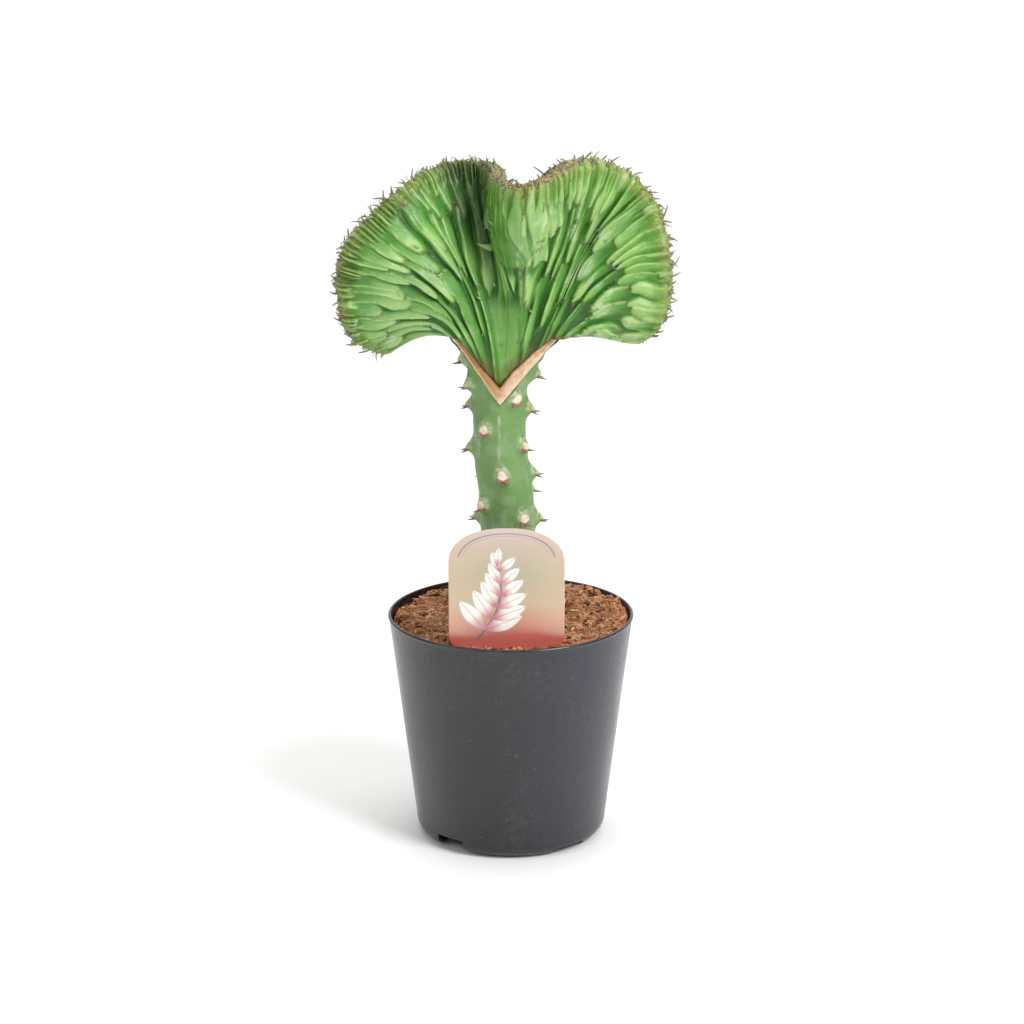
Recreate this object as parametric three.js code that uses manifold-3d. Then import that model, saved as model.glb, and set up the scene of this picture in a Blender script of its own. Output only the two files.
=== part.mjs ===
// Potted coral cactus: a crested spurge fan grafted on a columnar stock, in a round nursery pot.
//
// Units are millimetres, +Z is up. The pot stands on z = 0 with its axis on the origin,
// and the broad side of the fan faces -Y.

import * as THREE from 'three';
import { mergeVertices } from 'three/addons/utils/BufferGeometryUtils.js';
import Module from 'manifold-3d';

const wasm = await Module();
wasm.setup();

// Driving dimensions

const GAP = 0.3; // between pieces that touch
const SLIVER = 0.01; // edges shorter than this are closed up
const SPINE_RADIUS = 0.7; // at the root
const SPINE_SINK = 0.8; // how far the root goes in

const POT_HEIGHT = 112;
const POT_RIM_RADIUS = 60; // outside of the rolled lip
const POT_FOOT_RADIUS = 46.8; // outside, just above the rounded corner
const POT_CORNER = 8;
const POT_WALL = 1.2;
const POT_LIP = 0.3; // how far the lip stands out from the wall
const POT_LIP_HEIGHT = 1.6;
const POT_FLOOR = 3.6; // top of the floor inside
const POT_SEGMENTS = 56;
const DRAINS = 5; // around the corner
const DRAIN_FIRST = -50; // degrees about the axis, the one to the right of the front
const DRAIN_STEP = 70; // degrees, which puts the last one as far to the left of the front
const DRAIN_SLOT = { width: 16, top: 7.6, reach: 8 }; // a notch, in all but the first
const DRAIN_ARCH = { width: 20, top: 3.8, reach: 4.6 };
const DRAIN_CHANNEL = { width: 22, top: 2.2, reach: 15 }; // under the foot

const SOIL_LEVEL = 109;
const SOIL_RELIEF = 1.6; // height of the crumbs of the mix
const SOIL_SIDES = 40;
const SOIL_RINGS = [55.8, 49, 41.5, 33.5, 25.5, 17, 8]; // radii of its top's rings
const SOIL_FIBRES = 26;
const FIBRE_NEAREST = 27; // from the pot's axis
const FIBRE_FARTHEST = 46;

const STOCK_FOOT = 52; // z of the buried end
const STOCK_HOLE = { x: -0.3, radius: 16 };
const STOCK_SIDES = 25;
const TUBERCLE_RADIUS = 5;
const TUBERCLE_HEIGHT = 3.8;
const TUBERCLE_ROOT = 1.8;
const TUBERCLE_RISE = 8; // degrees that a scar looks up from level
const TUBERCLE_LENGTH = 1.2; // height over width
const SCAR_RADIUS = 2.1;
const STOCK_SPINE = 3.4;

const STOCK_TOP = 250.5; // z of the two ears beside the cut
const SEAT_GAP = GAP / 0.55; // upward distance that leaves the gap across the sloping cut
const EAR_REACH = { left: -34, right: 31 };
const GRAFT_DEPTH = 34; // front to back, before it is cut to the stock's outline
const CALLUS_PROUD = 0.7; // how far the callus stands out of the stock

const FAN_THICKNESS = 22; // at the graft
const FAN_EDGE_THICKNESS = 6.6; // just inside the growing edge
const EDGE_INSET = 4; // from the outside of the growing edge to the middle of its last rounding
const RIB_HEIGHT = 3.4;
const RIBS = 64; // on each face, at the growing edge
const RIM_SPINE = 3.4;
const FACE_SPINE = 2.2;

const TAG_WIDTH = 55;
const TAG_TOP = 168;
const TAG_SHOULDER = 107; // z of the plate's lower edge, just under the top of the mix
const TAG_THICKNESS = 0.6;
const TAG_Y = -45.5;
const TAG_X = -2;
const TAG_CORNER = 9; // radius of the plate's lower corners
const TAG_ARCH = 17; // height of the arched top
const STAKE_WIDTH = 17;
const STAKE_TIP = 62; // z of the buried point

// Colours

const POT_GREY = 0x3c3e42;
const SOIL_BROWN = 0x9a6038;
const STOCK_GREEN = 0x6f9a5a;
const CALLUS_TAN = 0xc79a6b;
const FAN_GREEN = 0x66a348;
const TAG_CREAM = 0xe3d3b4;

// A repeatable draw between 0 and 1 for each whole number. Each use takes its numbers from a
// hundred of its own.
function draw(n) {
  const x = Math.sin(n * 12.9898 + 78.233) * 43758.5453;
  return x - Math.floor(x);
}

function clamp01(x) {
  return Math.min(1, Math.max(0, x));
}

function smoothstep(from, to, x) {
  const t = clamp01((x - from) / (to - from));
  return t * t * (3 - 2 * t);
}

// The value at x of a smooth line through [x, value] pairs.
function alongTable(table, x) {
  if (x <= table[0][0]) return table[0][1];
  for (let i = 1; i < table.length; i++) {
    if (x > table[i][0]) continue;
    const [[x0, y0], [x1, y1]] = [table[i - 1], table[i]];
    return y0 + (y1 - y0) * smoothstep(x0, x1, x);
  }
  return table[table.length - 1][1];
}

// Solids

function solidOf(geometry) {
  const bare = geometry.clone();
  bare.deleteAttribute('normal');
  bare.deleteAttribute('uv');
  const merged = mergeVertices(bare, 1e-4);
  const mesh = new wasm.Mesh({
    numProp: 3,
    vertProperties: merged.attributes.position.array,
    triVerts: new Uint32Array(merged.index.array),
  });
  return new wasm.Manifold(mesh);
}

// The slivers that joins and cuts leave are collapsed first.
function geometryOf(solid) {
  const mesh = solid.simplify(SLIVER).getMesh();
  const geometry = new THREE.BufferGeometry();
  geometry.setAttribute('position', new THREE.BufferAttribute(mesh.vertProperties, 3));
  geometry.setIndex(new THREE.BufferAttribute(mesh.triVerts, 1));
  return geometry.toNonIndexed();
}

// Skins a stack of closed loops, the first at the bottom. A loop has as many points as the one
// before it or twice as many. The first and last are closed across from front to back when they
// are flat slits, and otherwise to their middle.
function skinLoops(loops, slit) {
  const corners = [];
  const face = (a, b, c) => corners.push(a, b, c);
  for (let row = 1; row < loops.length; row++) {
    const low = loops[row - 1];
    const high = loops[row];
    const n = low.length;
    const step = high.length / n;
    for (let i = 0; i < n; i++) {
      const a = low[i];
      const b = low[(i + 1) % n];
      const c = high[((i + 1) * step) % high.length];
      const d = high[i * step];
      if (step === 2) {
        const middle = high[i * step + 1];
        face(a, middle, d);
        face(a, b, middle);
        face(b, c, middle);
      } else {
        face(a, b, c);
        face(a, c, d);
      }
    }
  }
  closeEnd(loops[0], slit, (a, b, c) => face(a, c, b));
  if (!slit) closeEnd(loops[loops.length - 1], slit, face);
  return new THREE.BufferGeometry().setFromPoints(corners);
}

function closeEnd(loop, slit, face) {
  const n = loop.length;
  if (slit) {
    for (let i = 0; i < n / 2; i++) {
      const a = loop[i];
      const b = loop[i + 1];
      const c = loop[(n - i - 1) % n];
      const d = loop[(n - i) % n];
      if (i < n / 2 - 1) face(a, b, c);
      if (i > 0) face(a, c, d);
    }
    return;
  }
  const middle = loop.reduce((sum, p) => sum.add(p), new THREE.Vector3()).divideScalar(n);
  for (let i = 0; i < n; i++) face(middle, loop[i], loop[(i + 1) % n]);
}

// A three-sided needle with its root sunk in.
function needle(root, direction, length) {
  const cone = new THREE.ConeGeometry(SPINE_RADIUS, length + SPINE_SINK, 3);
  cone.translate(0, (length - SPINE_SINK) / 2, 0);
  const turn = new THREE.Quaternion().setFromUnitVectors(
    new THREE.Vector3(0, 1, 0),
    direction.clone().normalize(),
  );
  return cone.applyQuaternion(turn).translate(root.x, root.y, root.z);
}

function fuse(body, pieces) {
  return wasm.Manifold.union([body, ...pieces.map(solidOf)]);
}

// Pot

function potRadius(z) {
  const wallTop = POT_RIM_RADIUS - POT_LIP;
  return POT_FOOT_RADIUS + ((wallTop - POT_FOOT_RADIUS) * (z - POT_CORNER)) / (POT_HEIGHT - POT_CORNER);
}

function potSolid() {
  const lipFoot = POT_HEIGHT - POT_LIP_HEIGHT;
  const profile = [
    [0, 0],
    [14, 0],
    [16, 1.8],
    [34, 1.8],
    [36, 0],
    [POT_FOOT_RADIUS - 5, 0],
    [POT_FOOT_RADIUS - 2.5, 1.2],
    [POT_FOOT_RADIUS - 0.9, 4],
    [POT_FOOT_RADIUS, POT_CORNER],
    [potRadius(lipFoot), lipFoot],
    [POT_RIM_RADIUS, lipFoot + 0.6],
    [POT_RIM_RADIUS, POT_HEIGHT - 0.4],
    [POT_RIM_RADIUS - 0.5, POT_HEIGHT],
    [POT_RIM_RADIUS - POT_LIP - POT_WALL, POT_HEIGHT],
    [POT_FOOT_RADIUS - POT_WALL, POT_CORNER],
    [POT_FOOT_RADIUS - POT_WALL - 3.2, POT_FLOOR],
    [0, POT_FLOOR],
  ].map(([r, z]) => new THREE.Vector2(r, z));
  // A lathe turns its profile about Y; the quarter turn stands it up.
  const shell = new THREE.LatheGeometry(profile, POT_SEGMENTS).rotateX(Math.PI / 2);
  let pot = solidOf(shell);
  for (let i = 0; i < DRAINS; i++) {
    const turn = radians(DRAIN_FIRST + DRAIN_STEP * i);
    const cuts = [DRAIN_ARCH, DRAIN_CHANNEL];
    if (i > 0) cuts.push(DRAIN_SLOT);
    pot = cuts.reduce((solid, cut) => solid.subtract(drainCut(cut, turn)), pot);
  }
  return pot;
}

// A block that cuts through the pot's corner from outside, at a turn about the axis.
function drainCut({ width, top, reach }, turn) {
  const foot = -1;
  const block = new THREE.BoxGeometry(reach, width, top - foot);
  block.translate(POT_FOOT_RADIUS + 1 - reach / 2, 0, (top + foot) / 2);
  return solidOf(block.rotateZ(turn));
}

// Soil

function soilHeight(x, y, cell) {
  const spread = 0.9 * Math.sin(x * 0.09 + 1) * Math.cos(y * 0.08);
  const heap = 1.4 * smoothstep(-15, 45, y);
  const radius = Math.hypot(x, y);
  const slump = 2.2 * smoothstep(44, 58, radius) * smoothstep(30, -50, x);
  return SOIL_LEVEL + spread + heap - slump + SOIL_RELIEF * (draw(cell) - 0.5);
}

function soilSolid() {
  const bottom = POT_FLOOR + GAP;
  const ring = (radius, heightAt) =>
    Array.from({ length: SOIL_SIDES }, (_, i) => {
      const a = ((i + 0.5) / SOIL_SIDES) * 2 * Math.PI;
      const x = radius * Math.cos(a);
      const y = radius * Math.sin(a);
      return new THREE.Vector3(x, y, heightAt(x, y, i));
    });
  const wallGap = POT_WALL + GAP + 0.3;
  const loops = [
    ring(POT_FOOT_RADIUS - POT_WALL - 4.4, () => bottom),
    ring(potRadius(POT_CORNER + 1) - wallGap, () => POT_CORNER + 1),
    ring(potRadius(SOIL_LEVEL - 4) - wallGap, () => SOIL_LEVEL - 4),
  ];
  SOIL_RINGS.forEach((radius, k) => {
    loops.push(ring(radius, (x, y, i) => soilHeight(x, y, 1000 + k * SOIL_SIDES + i)));
  });
  const body = fuse(solidOf(skinLoops(loops, false)), fibres());
  const slits = [tagSlit(STAKE_WIDTH, STAKE_TIP), tagSlit(TAG_WIDTH, TAG_SHOULDER)];
  return slits.reduce((solid, slit) => solid.subtract(solidOf(slit)), body.subtract(solidOf(stockHole())));
}

// A plain round hole for the buried end of the stock, wide enough for its five angles.
function stockHole() {
  const depth = SOIL_LEVEL + 20 - STOCK_FOOT;
  const hole = new THREE.CylinderGeometry(STOCK_HOLE.radius, STOCK_HOLE.radius, depth, 32);
  return hole.rotateX(Math.PI / 2).translate(STOCK_HOLE.x, 0, STOCK_FOOT - GAP + depth / 2);
}

// The slit that a part of the tag, this wide, makes in the mix from a given height up.
function tagSlit(width, foot) {
  const depth = SOIL_LEVEL + 20 - foot;
  const slit = new THREE.BoxGeometry(width + 2 * GAP, TAG_THICKNESS + 2 * GAP, depth);
  return slit.translate(TAG_X, TAG_Y, foot - GAP + depth / 2);
}

// Bent strands of coir lying in the top of the mix.
function fibres() {
  const strands = [];
  for (let i = 0; i < SOIL_FIBRES; i++) {
    const turn = draw(3000 + i) * 2 * Math.PI;
    const radius = FIBRE_NEAREST + (FIBRE_FARTHEST - FIBRE_NEAREST) * draw(3100 + i);
    const x = radius * Math.cos(turn);
    const y = radius * Math.sin(turn);
    const way = draw(3200 + i) * Math.PI;
    const half = 4 + 4 * draw(3300 + i);
    const nearTag = Math.abs(y - TAG_Y) < 10 && Math.abs(x - TAG_X) < TAG_WIDTH / 2 + 8;
    if (nearTag) continue;
    const top = soilHeight(x, y, 3000) + 0.6;
    const path = new THREE.QuadraticBezierCurve3(
      new THREE.Vector3(x - half * Math.cos(way), y - half * Math.sin(way), top - 1.6),
      new THREE.Vector3(x + 2 * draw(3400 + i), y, top + 3.4),
      new THREE.Vector3(x + half * Math.cos(way), y + half * Math.sin(way), top - 1.6),
    );
    const section = new THREE.Shape([
      new THREE.Vector2(0.6, 0),
      new THREE.Vector2(-0.4, 0.5),
      new THREE.Vector2(-0.4, -0.5),
    ]);
    strands.push(new THREE.ExtrudeGeometry(section, { steps: 4, extrudePath: path }));
  }
  return strands;
}

// Stock

// [height, middle x, half width, half depth] of the stem, from its buried end to the ear tips.
const STOCK_SHAPE = [
  [STOCK_FOOT, 0.5, 10, 10],
  [STOCK_FOOT + 6, 0.5, 13, 13],
  [100, -0.5, 13.6, 13.4],
  [150, -1.3, 13.1, 13],
  [172, -2.2, 13.2, 13],
  [190, -4.6, 12.7, 12.8],
  [204, -5.4, 12.4, 12.8],
  [216, -5.3, 12.5, 12.8],
  [225, -5.2, 13, 12.6],
  [234.5, -4.4, 15.9, 11.8],
  [241, -3.4, 19, 10.8],
  [STOCK_TOP, -2.9, 26.4, 9.2],
];

// [turn about the stem in degrees from the front, height] of each areole with its spines.
const AREOLES = [
  [-33, 206], [35, 221], [56, 197.5], [0, 184], [-54, 168], [35, 162],
  [-72, 227], [-98, 238], [-95, 216.5], [-88, 195.5], [-100, 160],
  [94, 231], [80, 215], [86, 183], [88, 160],
  [150, 212], [-148, 218], [180, 190], [128, 172], [-140, 178], [165, 152],
  [0, 142], [-55, 130], [60, 128], [120, 134], [-120, 128], [180, 122],
];

function stockRow(z) {
  const column = (k) => alongTable(STOCK_SHAPE.map((row) => [row[0], row[k]]), z);
  return { middle: column(1), halfWidth: column(2), halfDepth: column(3) };
}

// A point of the stem's five-angled skin. Turn 0 faces -Y.
function stockPoint(turn, z, proud = 0) {
  const { middle, halfWidth, halfDepth } = stockRow(z);
  const angles = 1 + 0.035 * Math.cos(5 * turn);
  const x = middle + (halfWidth * angles + proud) * Math.sin(turn);
  const y = -(halfDepth * angles + proud) * Math.cos(turn);
  return new THREE.Vector3(x, y, z);
}

function radians(degrees) {
  return (degrees * Math.PI) / 180;
}

function stockBody(proud) {
  const rows = 18;
  const heights = [STOCK_FOOT, STOCK_FOOT + 6];
  for (let i = 0; i <= rows; i++) heights.push(100 + ((STOCK_TOP - 100) * i) / rows);
  const loops = heights.map((z) =>
    Array.from({ length: STOCK_SIDES }, (_, i) => stockPoint((i / STOCK_SIDES) * 2 * Math.PI, z, proud)),
  );
  return skinLoops(loops, false);
}

// A low mound that ends in a round scar, facing +Y at the origin.
function tubercle() {
  const profile = [
    [0, -TUBERCLE_ROOT],
    [TUBERCLE_RADIUS, -TUBERCLE_ROOT],
    [TUBERCLE_RADIUS * 0.64, TUBERCLE_HEIGHT * 0.42],
    [SCAR_RADIUS, TUBERCLE_HEIGHT],
    [0, TUBERCLE_HEIGHT * 0.85],
  ].map(([r, y]) => new THREE.Vector2(r, y));
  return new THREE.LatheGeometry(profile, 7).scale(1, 1, TUBERCLE_LENGTH);
}

function tuberclesWithSpines() {
  const pieces = [];
  for (const [degrees, z] of AREOLES) {
    const turn = radians(degrees);
    const foot = stockPoint(turn, z);
    // Turned over its own axis, the mound faces -Y like the front of the stem.
    const mound = tubercle().rotateX(Math.PI - radians(TUBERCLE_RISE));
    pieces.push(mound.rotateZ(turn).translate(foot.x, foot.y, foot.z));
    for (const hand of [-1, 1]) {
      const aside = new THREE.Vector3(Math.cos(turn), Math.sin(turn), 0).multiplyScalar(hand);
      const out = new THREE.Vector3(Math.sin(turn), -Math.cos(turn), 0);
      const root = foot.clone().addScaledVector(out, TUBERCLE_HEIGHT * 0.4);
      root.addScaledVector(aside, TUBERCLE_RADIUS * 0.38);
      root.z -= TUBERCLE_RADIUS * 0.75;
      const way = out.addScaledVector(aside, 0.55);
      way.z -= 0.35;
      pieces.push(needle(root, way, STOCK_SPINE));
    }
  }
  return pieces;
}

// Graft

// The cut in the stock, seen from the front, and the inner face of the callus against the fan.
const CUT_OUTER = [[-29.6, 252.6], [-5.2, 219.5], [23.6, 251.2]];
const CUT_INNER = [[22.6, 252.8], [11.5, 244.6], [1, 235.4], [-5.4, 227.6], [-28.4, 253.8]];

function frontPrism(outline, depth) {
  const shape = new THREE.Shape(outline.map(([x, z]) => new THREE.Vector2(x, z)));
  const prism = new THREE.ExtrudeGeometry(shape, { depth, bevelEnabled: false });
  // The extrusion runs along Z; stand it up so that its outline is seen from the front.
  return prism.rotateX(Math.PI / 2).translate(0, depth / 2, 0);
}

function raised(points, by) {
  return points.map(([x, z]) => [x, z + by]);
}

function callusSolid() {
  const chevron = solidOf(frontPrism([...CUT_OUTER, ...CUT_INNER], GRAFT_DEPTH));
  return chevron.intersect(solidOf(stockBody(CALLUS_PROUD)));
}

function stockSolid() {
  const [left, bottom, right] = raised(CUT_OUTER, -SEAT_GAP);
  const above = 40;
  const notch = [left, bottom, right, [right[0] + 3, right[1] + above], [left[0] - 3, left[1] + above]];
  const body = fuse(solidOf(stockBody(0)), tuberclesWithSpines());
  return body.subtract(solidOf(frontPrism(notch, GRAFT_DEPTH + 10)));
}

// What the fan keeps clear of: the stock with its ears, up to the inner face of the callus.
function graftClearance() {
  const [right, ...seat] = raised(CUT_INNER, SEAT_GAP);
  const left = seat.pop();
  const top = STOCK_TOP + GAP;
  const floor = 190;
  const cornerAt = ([x0, z0], [x1, z1]) => [x0 + ((x1 - x0) * (top - z0)) / (z1 - z0), top];
  const outline = [
    [EAR_REACH.left, floor],
    [EAR_REACH.right, floor],
    [EAR_REACH.right, top],
    cornerAt(seat[0], right),
    ...seat,
    cornerAt(seat[seat.length - 1], left),
    [EAR_REACH.left, top],
  ];
  return frontPrism(outline, GRAFT_DEPTH + 20);
}

// Fan

// Outside of the growing edge, from the lower left tip, over the pleat in the middle, to the
// lower right tip.
const EDGE_POINTS = [
  [-61, 4, 238.5], [-75, 1, 247], [-82, -8, 270], [-79, -14, 295.5], [-63.5, -12, 314],
  [-43, 2, 327.5], [-25, 16, 331.8], [-11, 14, 331], [-5, -5, 328], [3, -21, 326.5],
  [15, -22, 330.5], [29, -9, 335.5], [46, 7, 332.3], [63, 8, 321.5], [73, -2, 303],
  [76.2, -10, 277], [73.5, -6, 259.5], [64, 2, 245.8],
];
const EDGE = new THREE.CatmullRomCurve3(EDGE_POINTS.map((p) => new THREE.Vector3(...p)));
EDGE.arcLengthDivisions = 600;

// The ribs start on a shallow arc inside the cut of the stock. From there they lean apart, and
// they reach the growing edge at their own lean again. A lean is in degrees from upright.
const ROOT = { left: -15, right: 11, top: 235, bottom: 221 };
const ROOT_LEAN = [-31.5, 41.2];
const EDGE_LEAN = [
  [0, -127], [0.12, -88], [0.25, -46], [0.38, -8], [0.5, 0], [0.6, 6], [0.7, 22], [0.82, 66], [0.9, 90],
  [1, 95],
];
const ROOT_PULL = 0.6; // length of a rib's first and last stretch, as a share of its reach
const EDGE_PULL = 0.4;
const PLEAT_SPREAD = 1.4; // how early the pleats of the growing edge fade towards the graft

function leaning(degrees) {
  return new THREE.Vector3(Math.sin(radians(degrees)), 0, Math.cos(radians(degrees)));
}

// The middle of the fan: s runs along the growing edge, v from the graft outward.
function fanMiddle(s, v) {
  const side = 2 * s - 1;
  const rootX = ROOT.left + (ROOT.right - ROOT.left) * s;
  const rootZ = ROOT.bottom + (ROOT.top - ROOT.bottom) * side * side;
  const root = new THREE.Vector3(rootX, 0, rootZ);
  const last = leaning(alongTable(EDGE_LEAN, s));
  const edge = EDGE.getPointAt(clamp01(s)).addScaledVector(last, -EDGE_INSET);
  const pleat = edge.y;
  edge.y = 0;
  const reach = root.distanceTo(edge);
  const first = leaning(ROOT_LEAN[0] + (ROOT_LEAN[1] - ROOT_LEAN[0]) * s);
  const rib = new THREE.CubicBezierCurve3(
    root,
    root.clone().addScaledVector(first, ROOT_PULL * reach),
    edge.clone().addScaledVector(last, -EDGE_PULL * reach),
    edge,
  );
  const point = rib.getPoint(v);
  point.y = pleat * Math.pow(Math.max(0, v), PLEAT_SPREAD);
  return point;
}

const TINY = 1e-3;

// The middle point with the two directions that matter there: through the fan and outward.
// Near the graft, where the fan is thick, the first is straight towards the viewer.
function fanFrame(s, v) {
  const point = fanMiddle(s, v);
  const alongEdge = fanMiddle(Math.min(1, s + TINY), v).sub(fanMiddle(Math.max(0, s - TINY), v));
  const outward = fanMiddle(s, Math.min(1, v + TINY)).sub(fanMiddle(s, Math.max(0, v - TINY)));
  const across = alongEdge.cross(outward).normalize();
  const normal = new THREE.Vector3(0, -1, 0).lerp(across, smoothstep(0.35, 1, v)).normalize();
  return { point, outward: outward.normalize(), normal };
}

// [v, generation] and [v, share of the full rib height]
const GENERATION = [[0, 0], [0.16, 1], [0.36, 2], [0.62, 2.15], [0.84, 3], [1, 3]];
const RIB_SHARE = [[0, 0.15], [0.3, 0.95], [0.62, 1], [1, 0.55]];
const START = [[-1, -1], [0.08, 0.2], [0.28, 0.44], [0.66, 0.84]]; // first and last v of each generation

function generationOf(j) {
  if (j % 8 === 0) return 0;
  if (j % 8 === 4) return 1;
  return j % 4 === 2 ? 2 : 3;
}

// Ribs of one face: where each lies along the edge, and how far out its first tooth stands.
function ribsOf(face) {
  return Array.from({ length: RIBS + 1 }, (_, j) => {
    const [first, last] = START[generationOf(j)];
    return {
      at: clamp01((j + 0.4 * (draw(j) - 0.5)) / RIBS),
      start: first + (last - first) * draw(100 * face + 200 + j),
      pitch: 0.2 + 0.08 * draw(100 * face + 400 + j),
    };
  });
}
const FACES = [ribsOf(0), ribsOf(1)];

// Height of the ribs over the fan's face, as a share of the full height.
function ribHeight(face, s, v, teeth) {
  const spacing = 1 / (8 * Math.pow(2, alongTable(GENERATION, v)));
  let height = 0;
  for (const rib of FACES[face]) {
    const away = Math.abs(s - rib.at);
    if (away > 0.62 * spacing || v < rib.start - 0.02) continue;
    const begun = smoothstep(rib.start - 0.02, rib.start + 0.02, v);
    const width = 0.62 * spacing * Math.sqrt(smoothstep(rib.start - 0.03, rib.start + 0.12, v));
    const cross = Math.pow(clamp01(1 - away / width), 1.1);
    const along = (v - rib.start) / rib.pitch;
    const tooth = Math.exp(-4 * (along - Math.floor(along)));
    height = Math.max(height, begun * cross * (0.82 + 0.5 * teeth * tooth));
  }
  return height * alongTable(RIB_SHARE, v);
}

const HALF_THICKNESS = [
  [0, FAN_THICKNESS / 2], [0.2, 8], [0.4, 5.4], [0.7, 3.9], [1, FAN_EDGE_THICKNESS / 2],
];

// A point of the fan's skin. Turn is 0 on the faces and reaches a right angle at the growing edge.
function fanSkin(face, s, v, turn, relief = 1) {
  const { point, outward, normal } = fanFrame(s, v);
  const side = Math.abs(2 * s - 1);
  const rounded = Math.sqrt(Math.max(0, 1 - Math.pow(side, 12)));
  const half = alongTable(HALF_THICKNESS, v);
  const ribs = relief * RIB_HEIGHT * ribHeight(face, s, v, Math.cos(turn));
  const reach = (half + ribs * (1 - 0.3 * Math.sin(turn))) * rounded;
  const facing = face === 0 ? 1 : -1;
  return point
    .addScaledVector(normal, facing * Math.cos(turn) * reach)
    .addScaledVector(outward, Math.sin(turn) * reach);
}

// Places along the edge that a row of the fan uses. The finest row has each ridge and each
// valley between, and every coarser one has half as many.
function columnsFor(level) {
  const step = 8 / Math.pow(2, level);
  const places = [];
  for (let k = 0; k <= 2 * RIBS; k += step) {
    const low = FACES[0][Math.floor(k / 2)].at;
    const high = FACES[0][Math.ceil(k / 2)].at;
    places.push((low + high) / 2);
  }
  return places;
}

function fanLoop(places, v, turn) {
  const front = places.map((s) => fanSkin(0, s, v, turn));
  const back = places.slice(1, -1).reverse().map((s) => fanSkin(1, s, v, turn));
  return [...front, ...back];
}

function fanBody() {
  // [v, level of the columns, turn over the growing edge]
  const rows = [
    [0, 0, 0], [0.08, 0, 0], [0.16, 0, 0],
    [0.22, 1, 0], [0.28, 1, 0], [0.34, 1, 0],
    [0.4, 2, 0], [0.46, 2, 0], [0.53, 2, 0],
    [0.6, 3, 0], [0.68, 3, 0], [0.76, 3, 0], [0.84, 3, 0], [0.92, 3, 0], [1, 3, 0],
    [1, 3, 0.7], [1, 3, Math.PI / 2],
  ];
  const columns = [0, 1, 2, 3].map(columnsFor);
  const loops = rows.map(([v, level, turn]) => fanLoop(columns[level], v, turn));
  return skinLoops(loops, true);
}

// Spines: one at the end of each rib, alternately on the two faces, and one at the first tooth
// of the ribs that begin on the open face.
function fanSpines() {
  const spines = [];
  FACES[0].forEach((rib, j) => {
    const face = j % 2;
    const { outward, normal } = fanFrame(rib.at, 1);
    const root = fanSkin(face, rib.at, 1, 0.75);
    const lean = normal.multiplyScalar((face === 0 ? 1 : -1) * (0.2 + 0.7 * draw(500 + j)));
    const way = outward.add(lean).add(new THREE.Vector3(draw(600 + j) - 0.5, 0, draw(700 + j) - 0.5));
    spines.push(needle(root, way, RIM_SPINE * (0.7 + 0.5 * draw(800 + j))));
  });
  FACES.forEach((ribs, face) => {
    ribs.forEach((rib, j) => {
      if (generationOf(j) === 0 || (generationOf(j) === 3 && draw(900 + j) > 0.5)) return;
      const v = rib.start + 0.035;
      const { outward, normal } = fanFrame(rib.at, v);
      const root = fanSkin(face, rib.at, v, 0, 0.3);
      if (root.z < STOCK_TOP + 6) return;
      const way = normal.multiplyScalar(face === 0 ? 1 : -1).addScaledVector(outward, -0.4);
      spines.push(needle(root, way, FACE_SPINE + RIB_HEIGHT * 0.7));
    });
  });
  return spines;
}

function fanSolid() {
  return fuse(solidOf(fanBody()), fanSpines()).subtract(solidOf(graftClearance()));
}

// Tag

function tagSolid() {
  const half = TAG_WIDTH / 2;
  const stake = STAKE_WIDTH / 2;
  const shape = new THREE.Shape();
  shape.moveTo(0, STAKE_TIP);
  shape.lineTo(stake, STAKE_TIP + 16);
  shape.lineTo(stake, TAG_SHOULDER);
  shape.lineTo(half - TAG_CORNER, TAG_SHOULDER);
  shape.quadraticCurveTo(half, TAG_SHOULDER, half, TAG_SHOULDER + TAG_CORNER);
  shape.lineTo(half, TAG_TOP - TAG_ARCH);
  shape.bezierCurveTo(half, TAG_TOP - 6.5, half * 0.62, TAG_TOP, 0, TAG_TOP);
  shape.bezierCurveTo(-half * 0.62, TAG_TOP, -half, TAG_TOP - 6.5, -half, TAG_TOP - TAG_ARCH);
  shape.lineTo(-half, TAG_SHOULDER + TAG_CORNER);
  shape.quadraticCurveTo(-half, TAG_SHOULDER, -half + TAG_CORNER, TAG_SHOULDER);
  shape.lineTo(-stake, TAG_SHOULDER);
  shape.lineTo(-stake, STAKE_TIP + 16);
  const plate = new THREE.ExtrudeGeometry(shape, {
    depth: TAG_THICKNESS,
    bevelEnabled: false,
    curveSegments: 8,
  });
  return solidOf(plate.rotateX(Math.PI / 2).translate(TAG_X, TAG_Y + TAG_THICKNESS / 2, 0));
}

// Assembly

function addPiece(group, name, solid, color, roughness) {
  const material = new THREE.MeshStandardMaterial({ color, roughness, metalness: 0, flatShading: true });
  const piece = new THREE.Mesh(geometryOf(solid), material);
  piece.name = name;
  group.add(piece);
}

const plant = new THREE.Group();
plant.name = 'potted_coral_cactus';
addPiece(plant, 'pot', potSolid(), POT_GREY, 0.45);
addPiece(plant, 'soil', soilSolid(), SOIL_BROWN, 0.95);
addPiece(plant, 'stock', stockSolid(), STOCK_GREEN, 0.5);
addPiece(plant, 'graft_callus', callusSolid(), CALLUS_TAN, 0.85);
addPiece(plant, 'crest', fanSolid(), FAN_GREEN, 0.45);
addPiece(plant, 'plant_tag', tagSolid(), TAG_CREAM, 0.35);

export default plant;
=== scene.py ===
import math

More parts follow.
